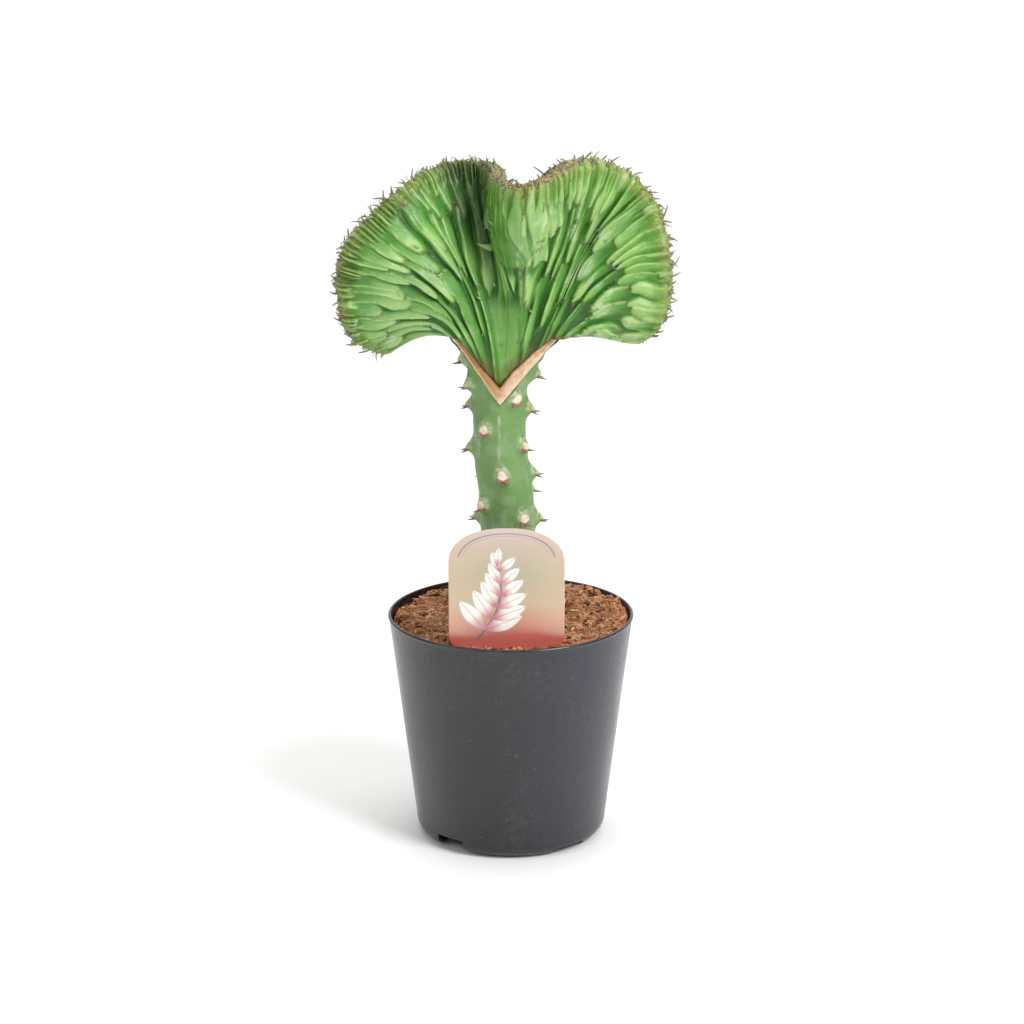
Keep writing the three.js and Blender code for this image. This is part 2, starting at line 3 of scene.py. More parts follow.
import bpy
import numpy as np
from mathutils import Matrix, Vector


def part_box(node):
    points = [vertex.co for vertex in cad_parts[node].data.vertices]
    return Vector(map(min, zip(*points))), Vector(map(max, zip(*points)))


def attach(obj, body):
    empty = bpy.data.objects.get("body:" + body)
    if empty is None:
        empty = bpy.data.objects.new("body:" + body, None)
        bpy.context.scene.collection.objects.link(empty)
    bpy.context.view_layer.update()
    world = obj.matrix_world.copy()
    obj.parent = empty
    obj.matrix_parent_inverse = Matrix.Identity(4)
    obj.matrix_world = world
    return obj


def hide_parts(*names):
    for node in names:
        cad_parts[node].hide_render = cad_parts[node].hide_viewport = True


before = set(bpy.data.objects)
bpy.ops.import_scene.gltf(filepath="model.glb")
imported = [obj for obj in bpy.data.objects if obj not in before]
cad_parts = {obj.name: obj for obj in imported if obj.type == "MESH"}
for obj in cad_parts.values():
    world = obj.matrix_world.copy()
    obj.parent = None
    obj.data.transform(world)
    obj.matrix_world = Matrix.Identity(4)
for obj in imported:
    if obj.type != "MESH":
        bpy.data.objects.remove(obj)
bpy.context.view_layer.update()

# The looks of a potted coral cactus. Every shape is worked out in millimetres, in the frame of the
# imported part, and turned into metres by new_mesh.

MM = 0.001


def box_of(node):
    low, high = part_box(node)
    return np.array(low) / MM, np.array(high) / MM


POT_HIGH = box_of("pot")[1]
TAG_LOW, TAG_HIGH = box_of("plant_tag")
STOCK_LOW, STOCK_HIGH = box_of("stock")


# Small mathematics on numbers and arrays


def draw(n):
    """The part's repeatable draw between 0 and 1 for each whole number."""
    x = math.sin(n * 12.9898 + 78.233) * 43758.5453
    return x - math.floor(x)


def smoothstep(low, high, x):
    t = np.clip((x - low) / (high - low), 0, 1)
    return t * t * (3 - 2 * t)


def between(pair, share):
    return pair[0] + (pair[1] - pair[0]) * share


def along_table(table, x):
    """The value at x of a smooth line through (x, value) pairs."""
    xs, ys = np.array(table, float).T
    x = np.clip(x, xs[0], xs[-1])
    i = np.clip(np.searchsorted(xs, x) - 1, 0, len(xs) - 2)
    return ys[i] + (ys[i + 1] - ys[i]) * smoothstep(xs[i], xs[i + 1], x)


def unit(vectors):
    return vectors / np.maximum(np.linalg.norm(vectors, axis=-1, keepdims=True), 1e-12)


def run_along(points):
    """How far along a line of points each of them lies."""
    return np.concatenate([[0], np.cumsum(np.linalg.norm(np.diff(points, axis=0), axis=1))])


def circle(turn, radius, z):
    return np.stack(np.broadcast_arrays(radius * np.cos(turn), radius * np.sin(turn), z), -1)


def joined(groups):
    """Tuples of arrays, joined part by part."""
    return [np.concatenate(parts) for parts in zip(*groups)]


def lattice_draw(i, j, k, seed):
    n = (i * 73856093) ^ (j * 19349663) ^ (k * 83492791) ^ (seed * 2654435761)
    n = ((n ^ (n >> 13)) * 1274126177) & 0x7FFFFFFF
    return ((n ^ (n >> 15)) & 0xFFFF) / 32767.5 - 1


def noise(points, cell, seed=0):
    """Smooth noise between -1 and 1 over 3-D points, with features about one cell wide."""
    places = points / cell
    base = np.floor(places).astype(np.int64)
    t = places - base
    t = t * t * (3 - 2 * t)
    total = np.zeros(points.shape[:-1])
    for corner in np.ndindex(2, 2, 2):
        near = np.abs(1 - np.array(corner) - t)
        share = near[..., 0] * near[..., 1] * near[..., 2]
        total += share * lattice_draw(*np.moveaxis(base + corner, -1, 0), seed)
    return total


# Meshes


def new_mesh(name, points, *face_groups, **attributes):
    """A mesh object from points in millimetres, arrays of faces, and named values for the points."""
    mesh = bpy.data.meshes.new(name)
    points = np.asarray(points, np.float64).reshape(-1, 3) * MM
    mesh.vertices.add(len(points))
    mesh.vertices.foreach_set("co", points.astype(np.float32).ravel())
    corners = np.concatenate([np.asarray(g).ravel() for g in face_groups]).astype(np.int32)
    sizes = np.concatenate([np.full(len(g), np.shape(g)[1]) for g in face_groups])
    mesh.loops.add(len(corners))
    mesh.loops.foreach_set("vertex_index", corners)
    mesh.polygons.add(len(sizes))
    mesh.polygons.foreach_set("loop_start", (np.cumsum(sizes) - sizes).astype(np.int32))
    mesh.update(calc_edges=True)
    mesh.validate()
    mesh.shade_smooth()
    for key, values in attributes.items():
        layer = mesh.attributes.new(key, "FLOAT", "POINT")
        layer.data.foreach_set("value", np.asarray(values, np.float32).ravel())
    piece = bpy.data.objects.new(name, mesh)
    bpy.context.scene.collection.objects.link(piece)
    return piece


def ring_faces(low, high):
    """Quads between closed loops of point numbers and as many loops of the same length."""
    return np.stack([low, np.roll(low, -1, -1), np.roll(high, -1, -1), high], -1).reshape(-1, 4)


def stacked(points, first=0):
    """The numbers of the points in a stack of closed loops, and the quads from each loop to the next."""
    numbers = first + np.arange(points.shape[0] * points.shape[1]).reshape(points.shape[:2])
    return numbers, ring_faces(numbers[:-1], numbers[1:])


def caps_of(numbers):
    """The first loop of a stack and the last, as faces that close it."""
    return np.stack([numbers[0][::-1], numbers[-1]])


def doubling_faces(low, high):
    """Faces between a closed loop and the next, which has twice as many points."""
    following = np.roll(low, -1)
    near, middle = high[0::2], high[1::2]
    far = np.roll(near, -1)
    corners = ((low, middle, near), (low, following, middle), (following, far, middle))
    return np.concatenate([np.stack(three, -1) for three in corners])


def finish_piece(piece, material, slot, *nodes):
    piece.data.materials.clear()
    piece.data.materials.append(material)
    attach(piece, "root")
    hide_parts(*nodes)


def apply_modifiers(piece):
    depsgraph = bpy.context.evaluated_depsgraph_get()
    mesh = bpy.data.meshes.new_from_object(piece.evaluated_get(depsgraph))
    piece.modifiers.clear()
    piece.data = mesh


def perpendiculars(ways):
    """Two unit vectors at right angles to each unit vector and to each other."""
    helper = np.where(np.abs(ways[:, 2:3]) < 0.8, [[0.0, 0.0, 1.0]], [[1.0, 0.0, 0.0]])
    first = unit(np.cross(ways, helper))
    return first, np.cross(ways, first)


def strand_piece(name, strands, rng, sides, rings, taper, tip=0.0):
    """Curved tapering strands, from the roots, ways, lengths, radii and bends of all of them.

    Each point has its share of the length, and each strand has a tone, drawn unless rng is None.
    """
    roots, ways, lengths, radii, bends = (np.array(part, float) for part in strands)
    ways = unit(ways)
    first, second = perpendiculars(ways)
    turn = np.arange(sides) / sides * 2 * math.pi
    around = first[:, None] * np.cos(turn)[None, :, None] + second[:, None] * np.sin(turn)[None, :, None]
    shares = np.linspace(0, 1, rings)
    loops = []
    for t in shares:
        centre = roots + ways * (lengths * t)[:, None] + bends * (lengths * t * t)[:, None]
        radius = np.maximum(radii * ((1 - t) ** taper * (1 - tip) + tip), 0.02)
        loops.append(centre[:, None] + around * radius[:, None, None])
    points = np.stack(loops, 1)
    numbers = np.arange(points[..., 0].size).reshape(points.shape[:3])
    ends = np.concatenate([numbers[:, 0, ::-1], numbers[:, -1]])
    share = np.broadcast_to(shares[None, :, None], numbers.shape)
    tone = 0 * share if rng is None else np.repeat(rng.random(len(roots)), rings * sides)
    quads = ring_faces(numbers[:, :-1], numbers[:, 1:])
    return new_mesh(name, points, quads, ends, share=share, tone=tone)


def scattered(template, faces, centres, axes):
    """Copies of a template at centres, each with its own three axes. Gives points and faces."""
    points = centres[:, None] + np.einsum("pk,nkc->npc", template, axes)
    offsets = np.arange(len(centres))[:, None, None] * len(template)
    return points.reshape(-1, 3), (faces[None] + offsets).reshape(-1, faces.shape[1])


def ball_template(rows=5, columns=8):
    """A ball of radius 1 as points, side quads and end triangles."""
    points = [[0, 0, -1]]
    for r in range(1, rows):
        lift = math.pi * r / rows - math.pi / 2
        radius = math.cos(lift)
        for c in range(columns):
            turn = 2 * math.pi * c / columns
            points.append([radius * math.cos(turn), radius * math.sin(turn), math.sin(lift)])
    points.append([0, 0, 1])
    loops = [1 + r * columns + np.arange(columns) for r in range(rows - 1)]
    triangles = []
    for low, high in zip(loops, loops[1:]):
        quads = ring_faces(low, high)
        triangles += [quads[:, [0, 1, 2]], quads[:, [0, 2, 3]]]
    bottom = np.stack([np.zeros(columns, int), np.roll(loops[0], -1), loops[0]], -1)
    top = np.stack([loops[-1], np.roll(loops[-1], -1), np.full(columns, len(points) - 1)], -1)
    return np.array(points, float), np.concatenate([*triangles, bottom, top])


# Materials


def colour(code):
    """A linear colour from sRGB hex digits."""
    channels = [int(code[i : i + 2], 16) / 255 for i in (0, 2, 4)]
    return (*(c / 12.92 if c <= 0.04045 else ((c + 0.055) / 1.055) ** 2.4 for c in channels), 1.0)


def arithmetic(operation):
    return lambda value, *others: value.surface.maths(operation, value, *others)


class Value:
    """A value over a surface, with the arithmetic of its material's nodes."""

    def __init__(self, surface, socket):
        self.surface = surface
        self.socket = socket

    __add__ = arithmetic("ADD")
    __sub__ = arithmetic("SUBTRACT")
    __mul__ = arithmetic("MULTIPLY")
    __truediv__ = arithmetic("DIVIDE")
    __pow__ = arithmetic("POWER")
    __abs__ = arithmetic("ABSOLUTE")


class Surface:
    """A material under construction: its nodes, and the colour that has been laid down so far."""

    def __init__(self, name, **values):
        self.material = bpy.data.materials.new(name)
        self.material.use_nodes = True
        self.tree = self.material.node_tree
        self.shader = self.tree.nodes["Principled BSDF"]
        for key, value in values.items():
            self.shader.inputs[key.replace("_", " ")].default_value = value
        self.place = self.node("ShaderNodeNewGeometry").outputs["Position"]
        self.base = None

    def node(self, kind, settings=(), **inputs):
        """A node with its settings and its inputs, which are given by name or as i and a number."""
        made = self.tree.nodes.new(kind)
        for key, value in dict(settings).items():
            setattr(made, key, value)
        for key, value in inputs.items():
            numbered = key[0] == "i" and key[1:].isdigit()
            self.put(made.inputs[int(key[1:]) if numbered else key.replace("_", " ")], value)
        return made

    def put(self, socket, value):
        value = getattr(value, "socket", value)
        if isinstance(value, bpy.types.NodeSocket):
            self.tree.links.new(value, socket)
        else:
            socket.default_value = value

    def attribute(self, name):
        return Value(self, self.node("ShaderNodeAttribute", {"attribute_name": name}).outputs["Fac"])

    def axis(self, k):
        """The place along X, Y or Z, in millimetres."""
        return Value(self, self.node("ShaderNodeSeparateXYZ", Vector=self.place).outputs[k]) / MM

    def maths(self, operation, a, b=0.0):
        return Value(self, self.node("ShaderNodeMath", {"operation": operation}, i0=a, i1=b).outputs[0])

    def step(self, low, high, value):
        """0 below low, 1 above high and smooth between. Low may be above high."""
        ends = {"From_Min": min(low, high), "From_Max": max(low, high)}
        made = self.node("ShaderNodeMapRange", {"interpolation_type": "SMOOTHSTEP"}, Value=value, **ends)
        out = Value(self, made.outputs["Result"])
        return self.maths("SUBTRACT", 1.0, out) if low > high else out

    def noise(self, cell, detail=2.0, roughness=0.5, stretch=(1, 1, 1)):
        """Noise between 0 and 1 with features about one cell wide, in millimetres, along stretched axes."""
        place = self.node("ShaderNodeVectorMath", {"operation": "MULTIPLY"}, i0=self.place, i1=stretch)
        return self.noise_at(place, 1 / (cell * MM), detail, roughness)

    def streaks(self, x, y, detail, roughness):
        """Noise between 0 and 1 over two values."""
        return self.noise_at(self.node("ShaderNodeCombineXYZ", X=x, Y=y), 1.0, detail, roughness)

    def noise_at(self, place, scale, detail, roughness):
        settings = {"Scale": scale, "Detail": detail, "Roughness": roughness}
        made = self.node("ShaderNodeTexNoise", Vector=place.outputs[0], **settings)
        return Value(self, made.outputs["Fac"])

    def specks(self, cell, size, empty):
        """Round specks in a random lattice: their size, and how many cells stay empty, as shares."""
        made = self.node("ShaderNodeTexVoronoi", Vector=self.place, Scale=1 / (cell * MM))
        lot = Value(self, self.node("ShaderNodeSeparateColor", Color=made.outputs["Color"]).outputs[0])
        ragged = (self.noise(cell * 0.2, 2.0) - 0.5) * (size * 1.2)
        away = Value(self, made.outputs["Distance"]) + ragged
        return self.step(size, size * 0.5, away) * self.step(empty, empty + 0.02, lot)

    def ramp(self, value, *stops):
        """A colour ramp through (place, hex) stops."""
        made = self.node("ShaderNodeValToRGB", Fac=value)
        elements = made.color_ramp.elements
        while len(elements) < len(stops):
            elements.new(1.0)
        for element, (place, code) in zip(elements, stops):
            element.position = place
            element.color = colour(code)
        return made.outputs["Color"]

    def mix(self, share, a, b):
        made = self.tree.nodes.new("ShaderNodeMix")
        made.data_type = "RGBA"
        for socket, value in zip((made.inputs[0], made.inputs[6], made.inputs[7]), (share, a, b)):
            self.put(socket, colour(value) if isinstance(value, str) else value)
        return made.outputs[2]

    def lay(self, over, share):
        """Lays a colour over what is there already."""
        self.base = self.mix(share, self.base, over)

    def finished(self, height, depth, roughness=None):
        """The material, with its colour, its roughness and a relief, its depth in millimetres, linked."""
        bump = self.node("ShaderNodeBump", Strength=1.0, Distance=depth * MM, Height=height)
        self.put(self.shader.inputs["Base Color"], self.base)
        self.put(self.shader.inputs["Normal"], bump.outputs["Normal"])
        if roughness is not None:
            self.put(self.shader.inputs["Roughness"], roughness)
        return self.material


# Fan: the same surface as the part's, with finer ribs

EDGE_POINTS = np.array(
    [
        [-61, 4, 238.5], [-75, 1, 247], [-82, -8, 270], [-79, -14, 295.5], [-63.5, -12, 314],
        [-43, 2, 327.5], [-25, 16, 331.8], [-11, 14, 331], [-5, -5, 328], [3, -21, 326.5],
        [15, -22, 330.5], [29, -9, 335.5], [46, 7, 332.3], [63, 8, 321.5], [73, -2, 303],
        [76.2, -10, 277], [73.5, -6, 259.5], [64, 2, 245.8],
    ],
    float,
)
ROOT_X = (-15, 11)
ROOT_Z = (221, 235)
ROOT_LEAN = (-31.5, 41.2)
EDGE_LEAN = [
    (0, -127), (0.12, -88), (0.25, -46), (0.38, -8), (0.5, 0), (0.6, 6), (0.7, 22), (0.82, 66),
    (0.9, 90), (1, 95),
]
ROOT_PULL = 0.6
EDGE_PULL = 0.4
PLEAT_SPREAD = 1.4
EDGE_INSET = 4
HALF_THICKNESS = [(0, 11), (0.2, 8), (0.4, 5.4), (0.7, 3.9), (1, 3.3)]
RIB_HEIGHT = 3.4
RIBS = 64
TINY = 1e-3
EDGE_STEPS = 600


def centripetal(points, t):
    """Points at t, from 0 to 1, of a centripetal curve through the given points."""
    held = np.vstack([2 * points[0] - points[1], points, 2 * points[-1] - points[-2]])
    place = np.clip(t, 0, 1) * (len(points) - 1)
    i = np.minimum(place.astype(int), len(points) - 2)
    w = (place - i)[..., None]
    p0, p1, p2, p3 = (held[i + k] for k in range(4))
    d0, d1, d2 = (
        np.sqrt(np.linalg.norm(b - a, axis=-1, keepdims=True)) for a, b in ((p0, p1), (p1, p2), (p2, p3))
    )
    first = ((p1 - p0) / d0 - (p2 - p0) / (d0 + d1) + (p2 - p1) / d1) * d1
    last = ((p2 - p1) / d1 - (p3 - p1) / (d1 + d2) + (p3 - p2) / d2) * d1
    square = 3 * (p2 - p1) - 2 * first - last
    cube = 2 * (p1 - p2) + first + last
    return p1 + w * (first + w * (square + w * cube))


EDGE_T = np.linspace(0, 1, EDGE_STEPS + 1)
EDGE_REACH = run_along(centripetal(EDGE_POINTS, EDGE_T))


def leaning(degrees):
    a = np.radians(degrees)
    return np.stack([np.sin(a), 0 * a, np.cos(a)], -1)


def fan_middle(s, v):
    """The middle of the fan: s runs along the growing edge, v from the graft outward."""
    side = 2 * s - 1
    root_x = between(ROOT_X, s)
    root_z = ROOT_Z[0] + (ROOT_Z[1] - ROOT_Z[0]) * side * side
    root = np.stack([root_x, 0 * s, root_z], -1)
    last = leaning(along_table(EDGE_LEAN, s))
    t = np.interp(np.clip(s, 0, 1) * EDGE_REACH[-1], EDGE_REACH, EDGE_T)
    edge = centripetal(EDGE_POINTS, t) - EDGE_INSET * last
    pleat = edge[..., 1].copy()
    edge[..., 1] = 0
    reach = np.linalg.norm(edge - root, axis=-1, keepdims=True)
    first = leaning(between(ROOT_LEAN, s))
    near = root + first * ROOT_PULL * reach
    far = edge - last * EDGE_PULL * reach
    w = v[..., None]
    point = (1 - w) ** 3 * root + 3 * (1 - w) ** 2 * w * near + 3 * (1 - w) * w * w * far + w**3 * edge
    point[..., 1] = pleat * np.maximum(v, 0) ** PLEAT_SPREAD
    return point


def fan_frame(s, v):
    """The middle point with three directions: outward, through the fan, and along the edge."""
    point = fan_middle(s, v)
    along = fan_middle(np.minimum(s + TINY, 1), v) - fan_middle(np.maximum(s - TINY, 0), v)
    outward = fan_middle(s, np.minimum(v + TINY, 1)) - fan_middle(s, np.maximum(v - TINY, 0))
    across = unit(np.cross(along, outward))
    share = smoothstep(0.35, 1, v)[..., None]
    normal = unit(np.array([0.0, -1.0, 0.0]) * (1 - share) + across * share)
    return point, unit(outward), normal, unit(along)


# The ribs at the graft, how many times they have doubled at a distance out, and how high they stand
# there, on the left lobe and on the right. A rib starts between the two distances of its grade.
FIRST_RIBS = 8
GENERATION = [(0, 0), (0.16, 1), (0.36, 1.9), (0.62, 2.1), (0.84, 2.4), (1, 2.6)]
LEFT_SHARE = [(0, 0.25), (0.25, 0.75), (0.5, 1.0), (0.8, 1.0), (0.92, 0.6), (1, 0.1)]
RIGHT_SHARE = [(0, 0.25), (0.25, 0.75), (0.5, 1.0), (0.9, 1.0), (1, 0.6)]
START = [(-1, -1), (0.08, 0.2), (0.26, 0.46), (0.62, 0.88)]
TAIL = (0.55, 0.32)  # height of a tooth where the next one begins, on the left lobe and on the right
SLANT = -0.5  # how far the crest line of a rib lies towards the start of the growing edge
RIB_WIDTH = (0.52, 0.47)  # half the width of a rib, in spacings, on the left lobe and on the right
# Small ribs at the growing edge: their number at an even pitch, and how many fewer to the right.
FINGERS = (160, 42)
FINGER_START = (0.915, 0.86, 0.975)  # the first ones on the left lobe, on the right lobe, and the last
FINGER_HEIGHT = 0.85


def rib_spacing(v):
    return 1 / (FIRST_RIBS * 2 ** along_table(GENERATION, v))


def on_right(at):
    """0 for a rib on the left lobe and 1 for one on the right."""
    return smoothstep(0.42, 0.62, at)


def grade_of(j):
    if j % 8 == 0:
        return 0
    if j % 8 == 4:
        return 1
    return 2 if j % 4 == 2 else 3


def ribs_of(face):
    """(place, start, pitch of the teeth, height, slant) of each rib of a face."""
    made = []
    for j in range(RIBS + 1):
        at = min(1, max(0, (j + 0.9 * (draw(j) - 0.5)) / RIBS))
        start = between(START[grade_of(j)], draw(100 * face + 200 + j))
        pitch = 0.24 + 0.14 * draw(100 * face + 400 + j)
        slant = SLANT + 0.4 * (draw(100 * face + 600 + j) - 0.5)
        made.append((at, start, pitch, 0.8 + 0.4 * draw(1000 + 100 * face + j), slant))
    return made


FACES = (ribs_of(0), ribs_of(1))


def tooth_pitch(at, pitch):
    """The teeth lie further apart on the left lobe than on the right."""
    return pitch * (1.4 - 0.2 * on_right(at))


# The middle flap: its lower margin, and the left edge, right edge and height of its tongues.
FLAP_LOW = [
    (0.45, 0.61), (0.516, 0.573), (0.545, 0.6), (0.571, 0.593), (0.576, 0.57), (0.59, 0.6), (0.62, 0.55),
]
FLAP_TONGUES = [
    ([(0.57, 0.474), (1, 0.474)], [(0.57, 0.571), (0.85, 0.545), (1, 0.528)], 0.28),
    ([(0.59, 0.562), (0.85, 0.538), (1, 0.522)], [(0.6, 0.576), (0.85, 0.566), (1, 0.558)], 0.55),
    ([(0.58, 0.573), (1, 0.556)], [(0.57, 0.61), (0.83, 0.594), (1, 0.582)], 0.68),
]
FLAP_NOTCHES = 1.05  # notches at the growing edge for each small rib elsewhere


def flap(face, s, v):
    """Height of the middle flap, which only the front has, and 1 on it and 0 beside it."""
    height, share = np.zeros_like(s), np.zeros_like(s)
    if face == 1:
        return height, share
    low = along_table(FLAP_LOW, s)
    for left, right, level in FLAP_TONGUES:
        across = np.minimum(s - along_table(left, v), along_table(right, v) - s)
        here = smoothstep(0, 0.006, across) * smoothstep(low - 0.004, low + 0.012, v)
        height = np.maximum(height, level * here * (1 - 0.25 * smoothstep(0.002, 0.016, across)))
        share = np.maximum(share, here)
    place = FLAP_NOTCHES * finger_place(s, v)
    cell = np.floor(place).astype(np.int64)
    late = 0.05 * lattice_draw(cell, 0, 0, 56)
    open_ = 0.55 * smoothstep(0.86 + late, 1.0, v)
    aside = 2 * np.abs(place - cell - 0.5)
    groove = smoothstep(1 - open_, 1.25 - open_, aside) * smoothstep(0, 0.1, open_)
    return height * (1 - 0.7 * groove), share * (1 - 0.6 * groove)


def painted_flap_shadow(s, v):
    """1 in the shade below the flap's lower margin."""
    low = along_table(FLAP_LOW, s)
    wide = smoothstep(0.49, 0.51, s) * smoothstep(0.6, 0.58, s)
    return wide * smoothstep(low - 0.08, low - 0.01, v) * smoothstep(low + 0.006, low - 0.002, v)


def web(s, v):
    """How smooth the skin is: 1 on the open web of the foot, 0 elsewhere."""
    return smoothstep(0.36, 0.42, s) * smoothstep(0.6, 0.54, s) * smoothstep(0.42, 0.3, v)


def finger_place(s, v):
    """Where a place lies among the small ribs, counted from the start of the growing edge."""
    place = s * FINGERS[0] - FINGERS[1] * s * s + 0.3 * np.sin(9 * v + 60 * s)
    return place + 0.9 * np.sin(31 * s) + 0.7 * np.sin(71 * s + 1)


def fingers(face, s, v):
    """Height of the small ribs that end at the growing edge."""
    place = finger_place(s, v)
    cell = np.floor(place).astype(np.int64)
    lot = [lattice_draw(cell, face, 0, seed) for seed in (51, 52, 53, 54)]
    middle, late = 0.5 + 0.12 * lot[0] + 1.6 * lot[3] * (v - 0.95), 0.5 + 0.5 * lot[1]
    first = between(FINGER_START, smoothstep(0.4, 0.55, s))
    start = first + (FINGER_START[2] - first) * late
    f = np.clip((v - start) / 0.06, 0, 1)
    wide = (0.34 + 0.1 * lot[2]) * f**0.6 + 1e-6
    round_ = 1 - np.clip(np.abs(place - cell - middle) / wide, 0, 1) ** 1.5
    return (0.75 + 0.4 * lot[2]) * smoothstep(0, 0.5, f) * round_


def relief(face, s, v):
    """Rib height as a share of the full one, and how near each point is to a tooth's tip and a crest."""
    bend = 0.6 * np.sin(7 * v + 30 * s + 2 * face) + 0.15 * np.sin(23 * v + 90 * s)
    spacing = rib_spacing(v)
    shifted = s + bend * spacing * 0.4 * smoothstep(0.1, 0.4, v) * smoothstep(1, 0.85, v)
    height, tip, crest = (np.zeros_like(s) for _ in range(3))
    for number, (at, start, pitch, tall, slant) in enumerate(FACES[face]):
        away = shifted - at
        near = (np.abs(away) < 1.1 * spacing) & (v > start - 0.02)
        if not near.any():
            continue
        a, w, gap = away[near], v[near], spacing[near]
        right = float(on_right(at))
        tail = between(TAIL, right)
        begun = smoothstep(start - 0.02, start + 0.03, w)
        width = between(RIB_WIDTH, right) * gap * np.sqrt(smoothstep(start - 0.03, start + 0.1, w))
        f = (w - start) / tooth_pitch(at, pitch)
        tooth = np.floor(f).astype(np.int64)
        f = f - tooth
        aside = (0.14 + 0.1 * right) * gap * lattice_draw(tooth, number, face, 55)
        rise = smoothstep(-0.03, 0.08, f) * (1 - (1 - tail) * smoothstep(0.12, 1, f))
        blade = width * (0.3 + 0.85 * np.clip(f / 0.3, 0, 1) ** 0.5)
        here = np.zeros_like(a)
        for reach, level, moved in ((width, tail, 0), (blade, rise, aside)):
            side = (a + moved) / np.maximum(reach, 1e-6) - slant
            side = np.clip(side / np.where(side > 0, 1 - slant, 1 + slant), -1, 1)
            slope = np.where(side > 0, 1 - 0.35 * side - 0.65 * side**4, 1 - np.abs(side) ** 2.5)
            here = np.maximum(here, level * slope)
        here = here * begun * tall
        line = np.exp(-(((a + aside) / np.maximum(blade, 1e-6) - slant + 0.08) / 0.13) ** 2)
        line = line * begun * smoothstep(0.0, 0.12, f)
        crest[near] = np.where(here > height[near], line, crest[near])
        height[near] = np.maximum(height[near], here)
        close = np.exp(-(((f - 0.04) / 0.035) ** 2) - ((a - slant * width) / (0.1 * gap)) ** 2)
        tip[near] = np.maximum(tip[near], close * begun)
    smooth = 1 - 0.75 * web(s, v)
    # On the right lobe the ribs themselves reach the growing edge.
    right = smoothstep(0.6, 0.68, s)
    height *= (along_table(LEFT_SHARE, v) * (1 - right) + along_table(RIGHT_SHARE, v) * right) * smooth
    broad, on_flap = flap(face, s, v)
    height = np.maximum(height * (1 - 0.85 * on_flap), broad)
    small = FINGER_HEIGHT * (1 - 0.55 * right) * fingers(face, s, v) * smoothstep(0.85, 0.94, v)
    height += small * (1 - smoothstep(0.46, 0.485, s) * smoothstep(0.6, 0.58, s))
    rim_crest = 0.5 * smoothstep(0.45, 0.8, height) * smoothstep(0.9, 0.95, v)
    return height, tip * smooth, np.maximum(crest * smooth, rim_crest)


def fan_skin(face, s, v, turn, ribs):
    """A point of the skin. Turn is 0 on the faces and a right angle on the growing edge."""
    point, outward, normal, _ = fan_frame(s, v)
    rounded = np.sqrt(np.maximum(0, 1 - np.abs(2 * s - 1) ** 12))
    half = along_table(HALF_THICKNESS, v)
    waves = 0.35 * noise(point + 50 * face, 9, 3) + 0.13 * noise(point + 50 * face, 3.2, 4)
    reach = (half + RIB_HEIGHT * ribs * (1 - 0.3 * np.sin(turn)) + waves) * rounded
    facing = 1 - 2 * face
    through = normal * (facing * np.cos(turn) * reach)[..., None]
    return point + through + outward * (np.sin(turn) * reach)[..., None]


# The fan starts on the inner face of the callus, and clears the ears of the stock beside it.
SEAT = np.array([(-28.4, 253.8), (-5.4, 227.6), (1, 235.4), (11.5, 244.6), (22.6, 252.8)], float)
SEAT_GAP = 0.545
EAR_TOP = STOCK_HIGH[2] + 0.3
EAR_REACH = (-34, 31)
FOLD_SIDES = (-0.09, 0.07)  # how far along the growing edge a fold is looked for on either side


def clears_graft(points):
    x, z = points[..., 0], points[..., 2]
    seat = np.minimum(np.interp(x, SEAT[:, 0], SEAT[:, 1]) + SEAT_GAP, EAR_TOP)
    return (z > seat) | (x < EAR_REACH[0]) | (x > EAR_REACH[1])


def fan_starts(s):
    """The v at which each rib comes out of the graft."""
    grid = np.linspace(0, 0.7, 281)
    clear = clears_graft(fan_middle(*np.meshgrid(s, grid, indexing="ij")))
    low = grid[len(grid) - 1 - np.argmin(clear[:, ::-1], axis=1)]
    high = low + grid[1]
    for _ in range(12):
        middle = (low + high) / 2
        out = clears_graft(fan_middle(s, middle))
        low, high = np.where(out, low, middle), np.where(out, middle, high)
    return high


def painted_fold_shade(face, s, v):
    """How deep a place of a face lies in a fold, where shade is painted: 1 at its bottom."""
    middle = fan_middle(s, v)[..., 1]
    beside = [fan_middle(np.clip(s + step, 0, 1), v)[..., 1] for step in FOLD_SIDES]
    left = 1.0 if face else smoothstep(0.54, 0.48, s)
    return left * smoothstep(1.0, 11.0, (1 - 2 * face) * (middle - 0.5 * (beside[0] + beside[1])))


# Rows from the graft outward: from and to a share of the way, how many, and points across a face.
FAN_LEVELS = [(0.0, 0.12, 9, 96), (0.12, 0.4, 24, 192), (0.4, 0.72, 34, 384), (0.72, 1.0, 32, 768)]
CAP_ROWS = 5
FAN_VALUES = ("ridge", "tip", "crest", "out", "deep", "foot", "around")


def fan_rows():
    """(share of the way out, points across a face, turn over the growing edge) of each row."""
    rows = []
    for low, high, count, columns in FAN_LEVELS:
        rows += [(t, columns, 0.0) for t in np.linspace(low, high, count, endpoint=False)]
    columns = FAN_LEVELS[-1][3]
    return rows + [(1.0, columns, math.pi / 2 * k / CAP_ROWS) for k in range(CAP_ROWS + 1)]


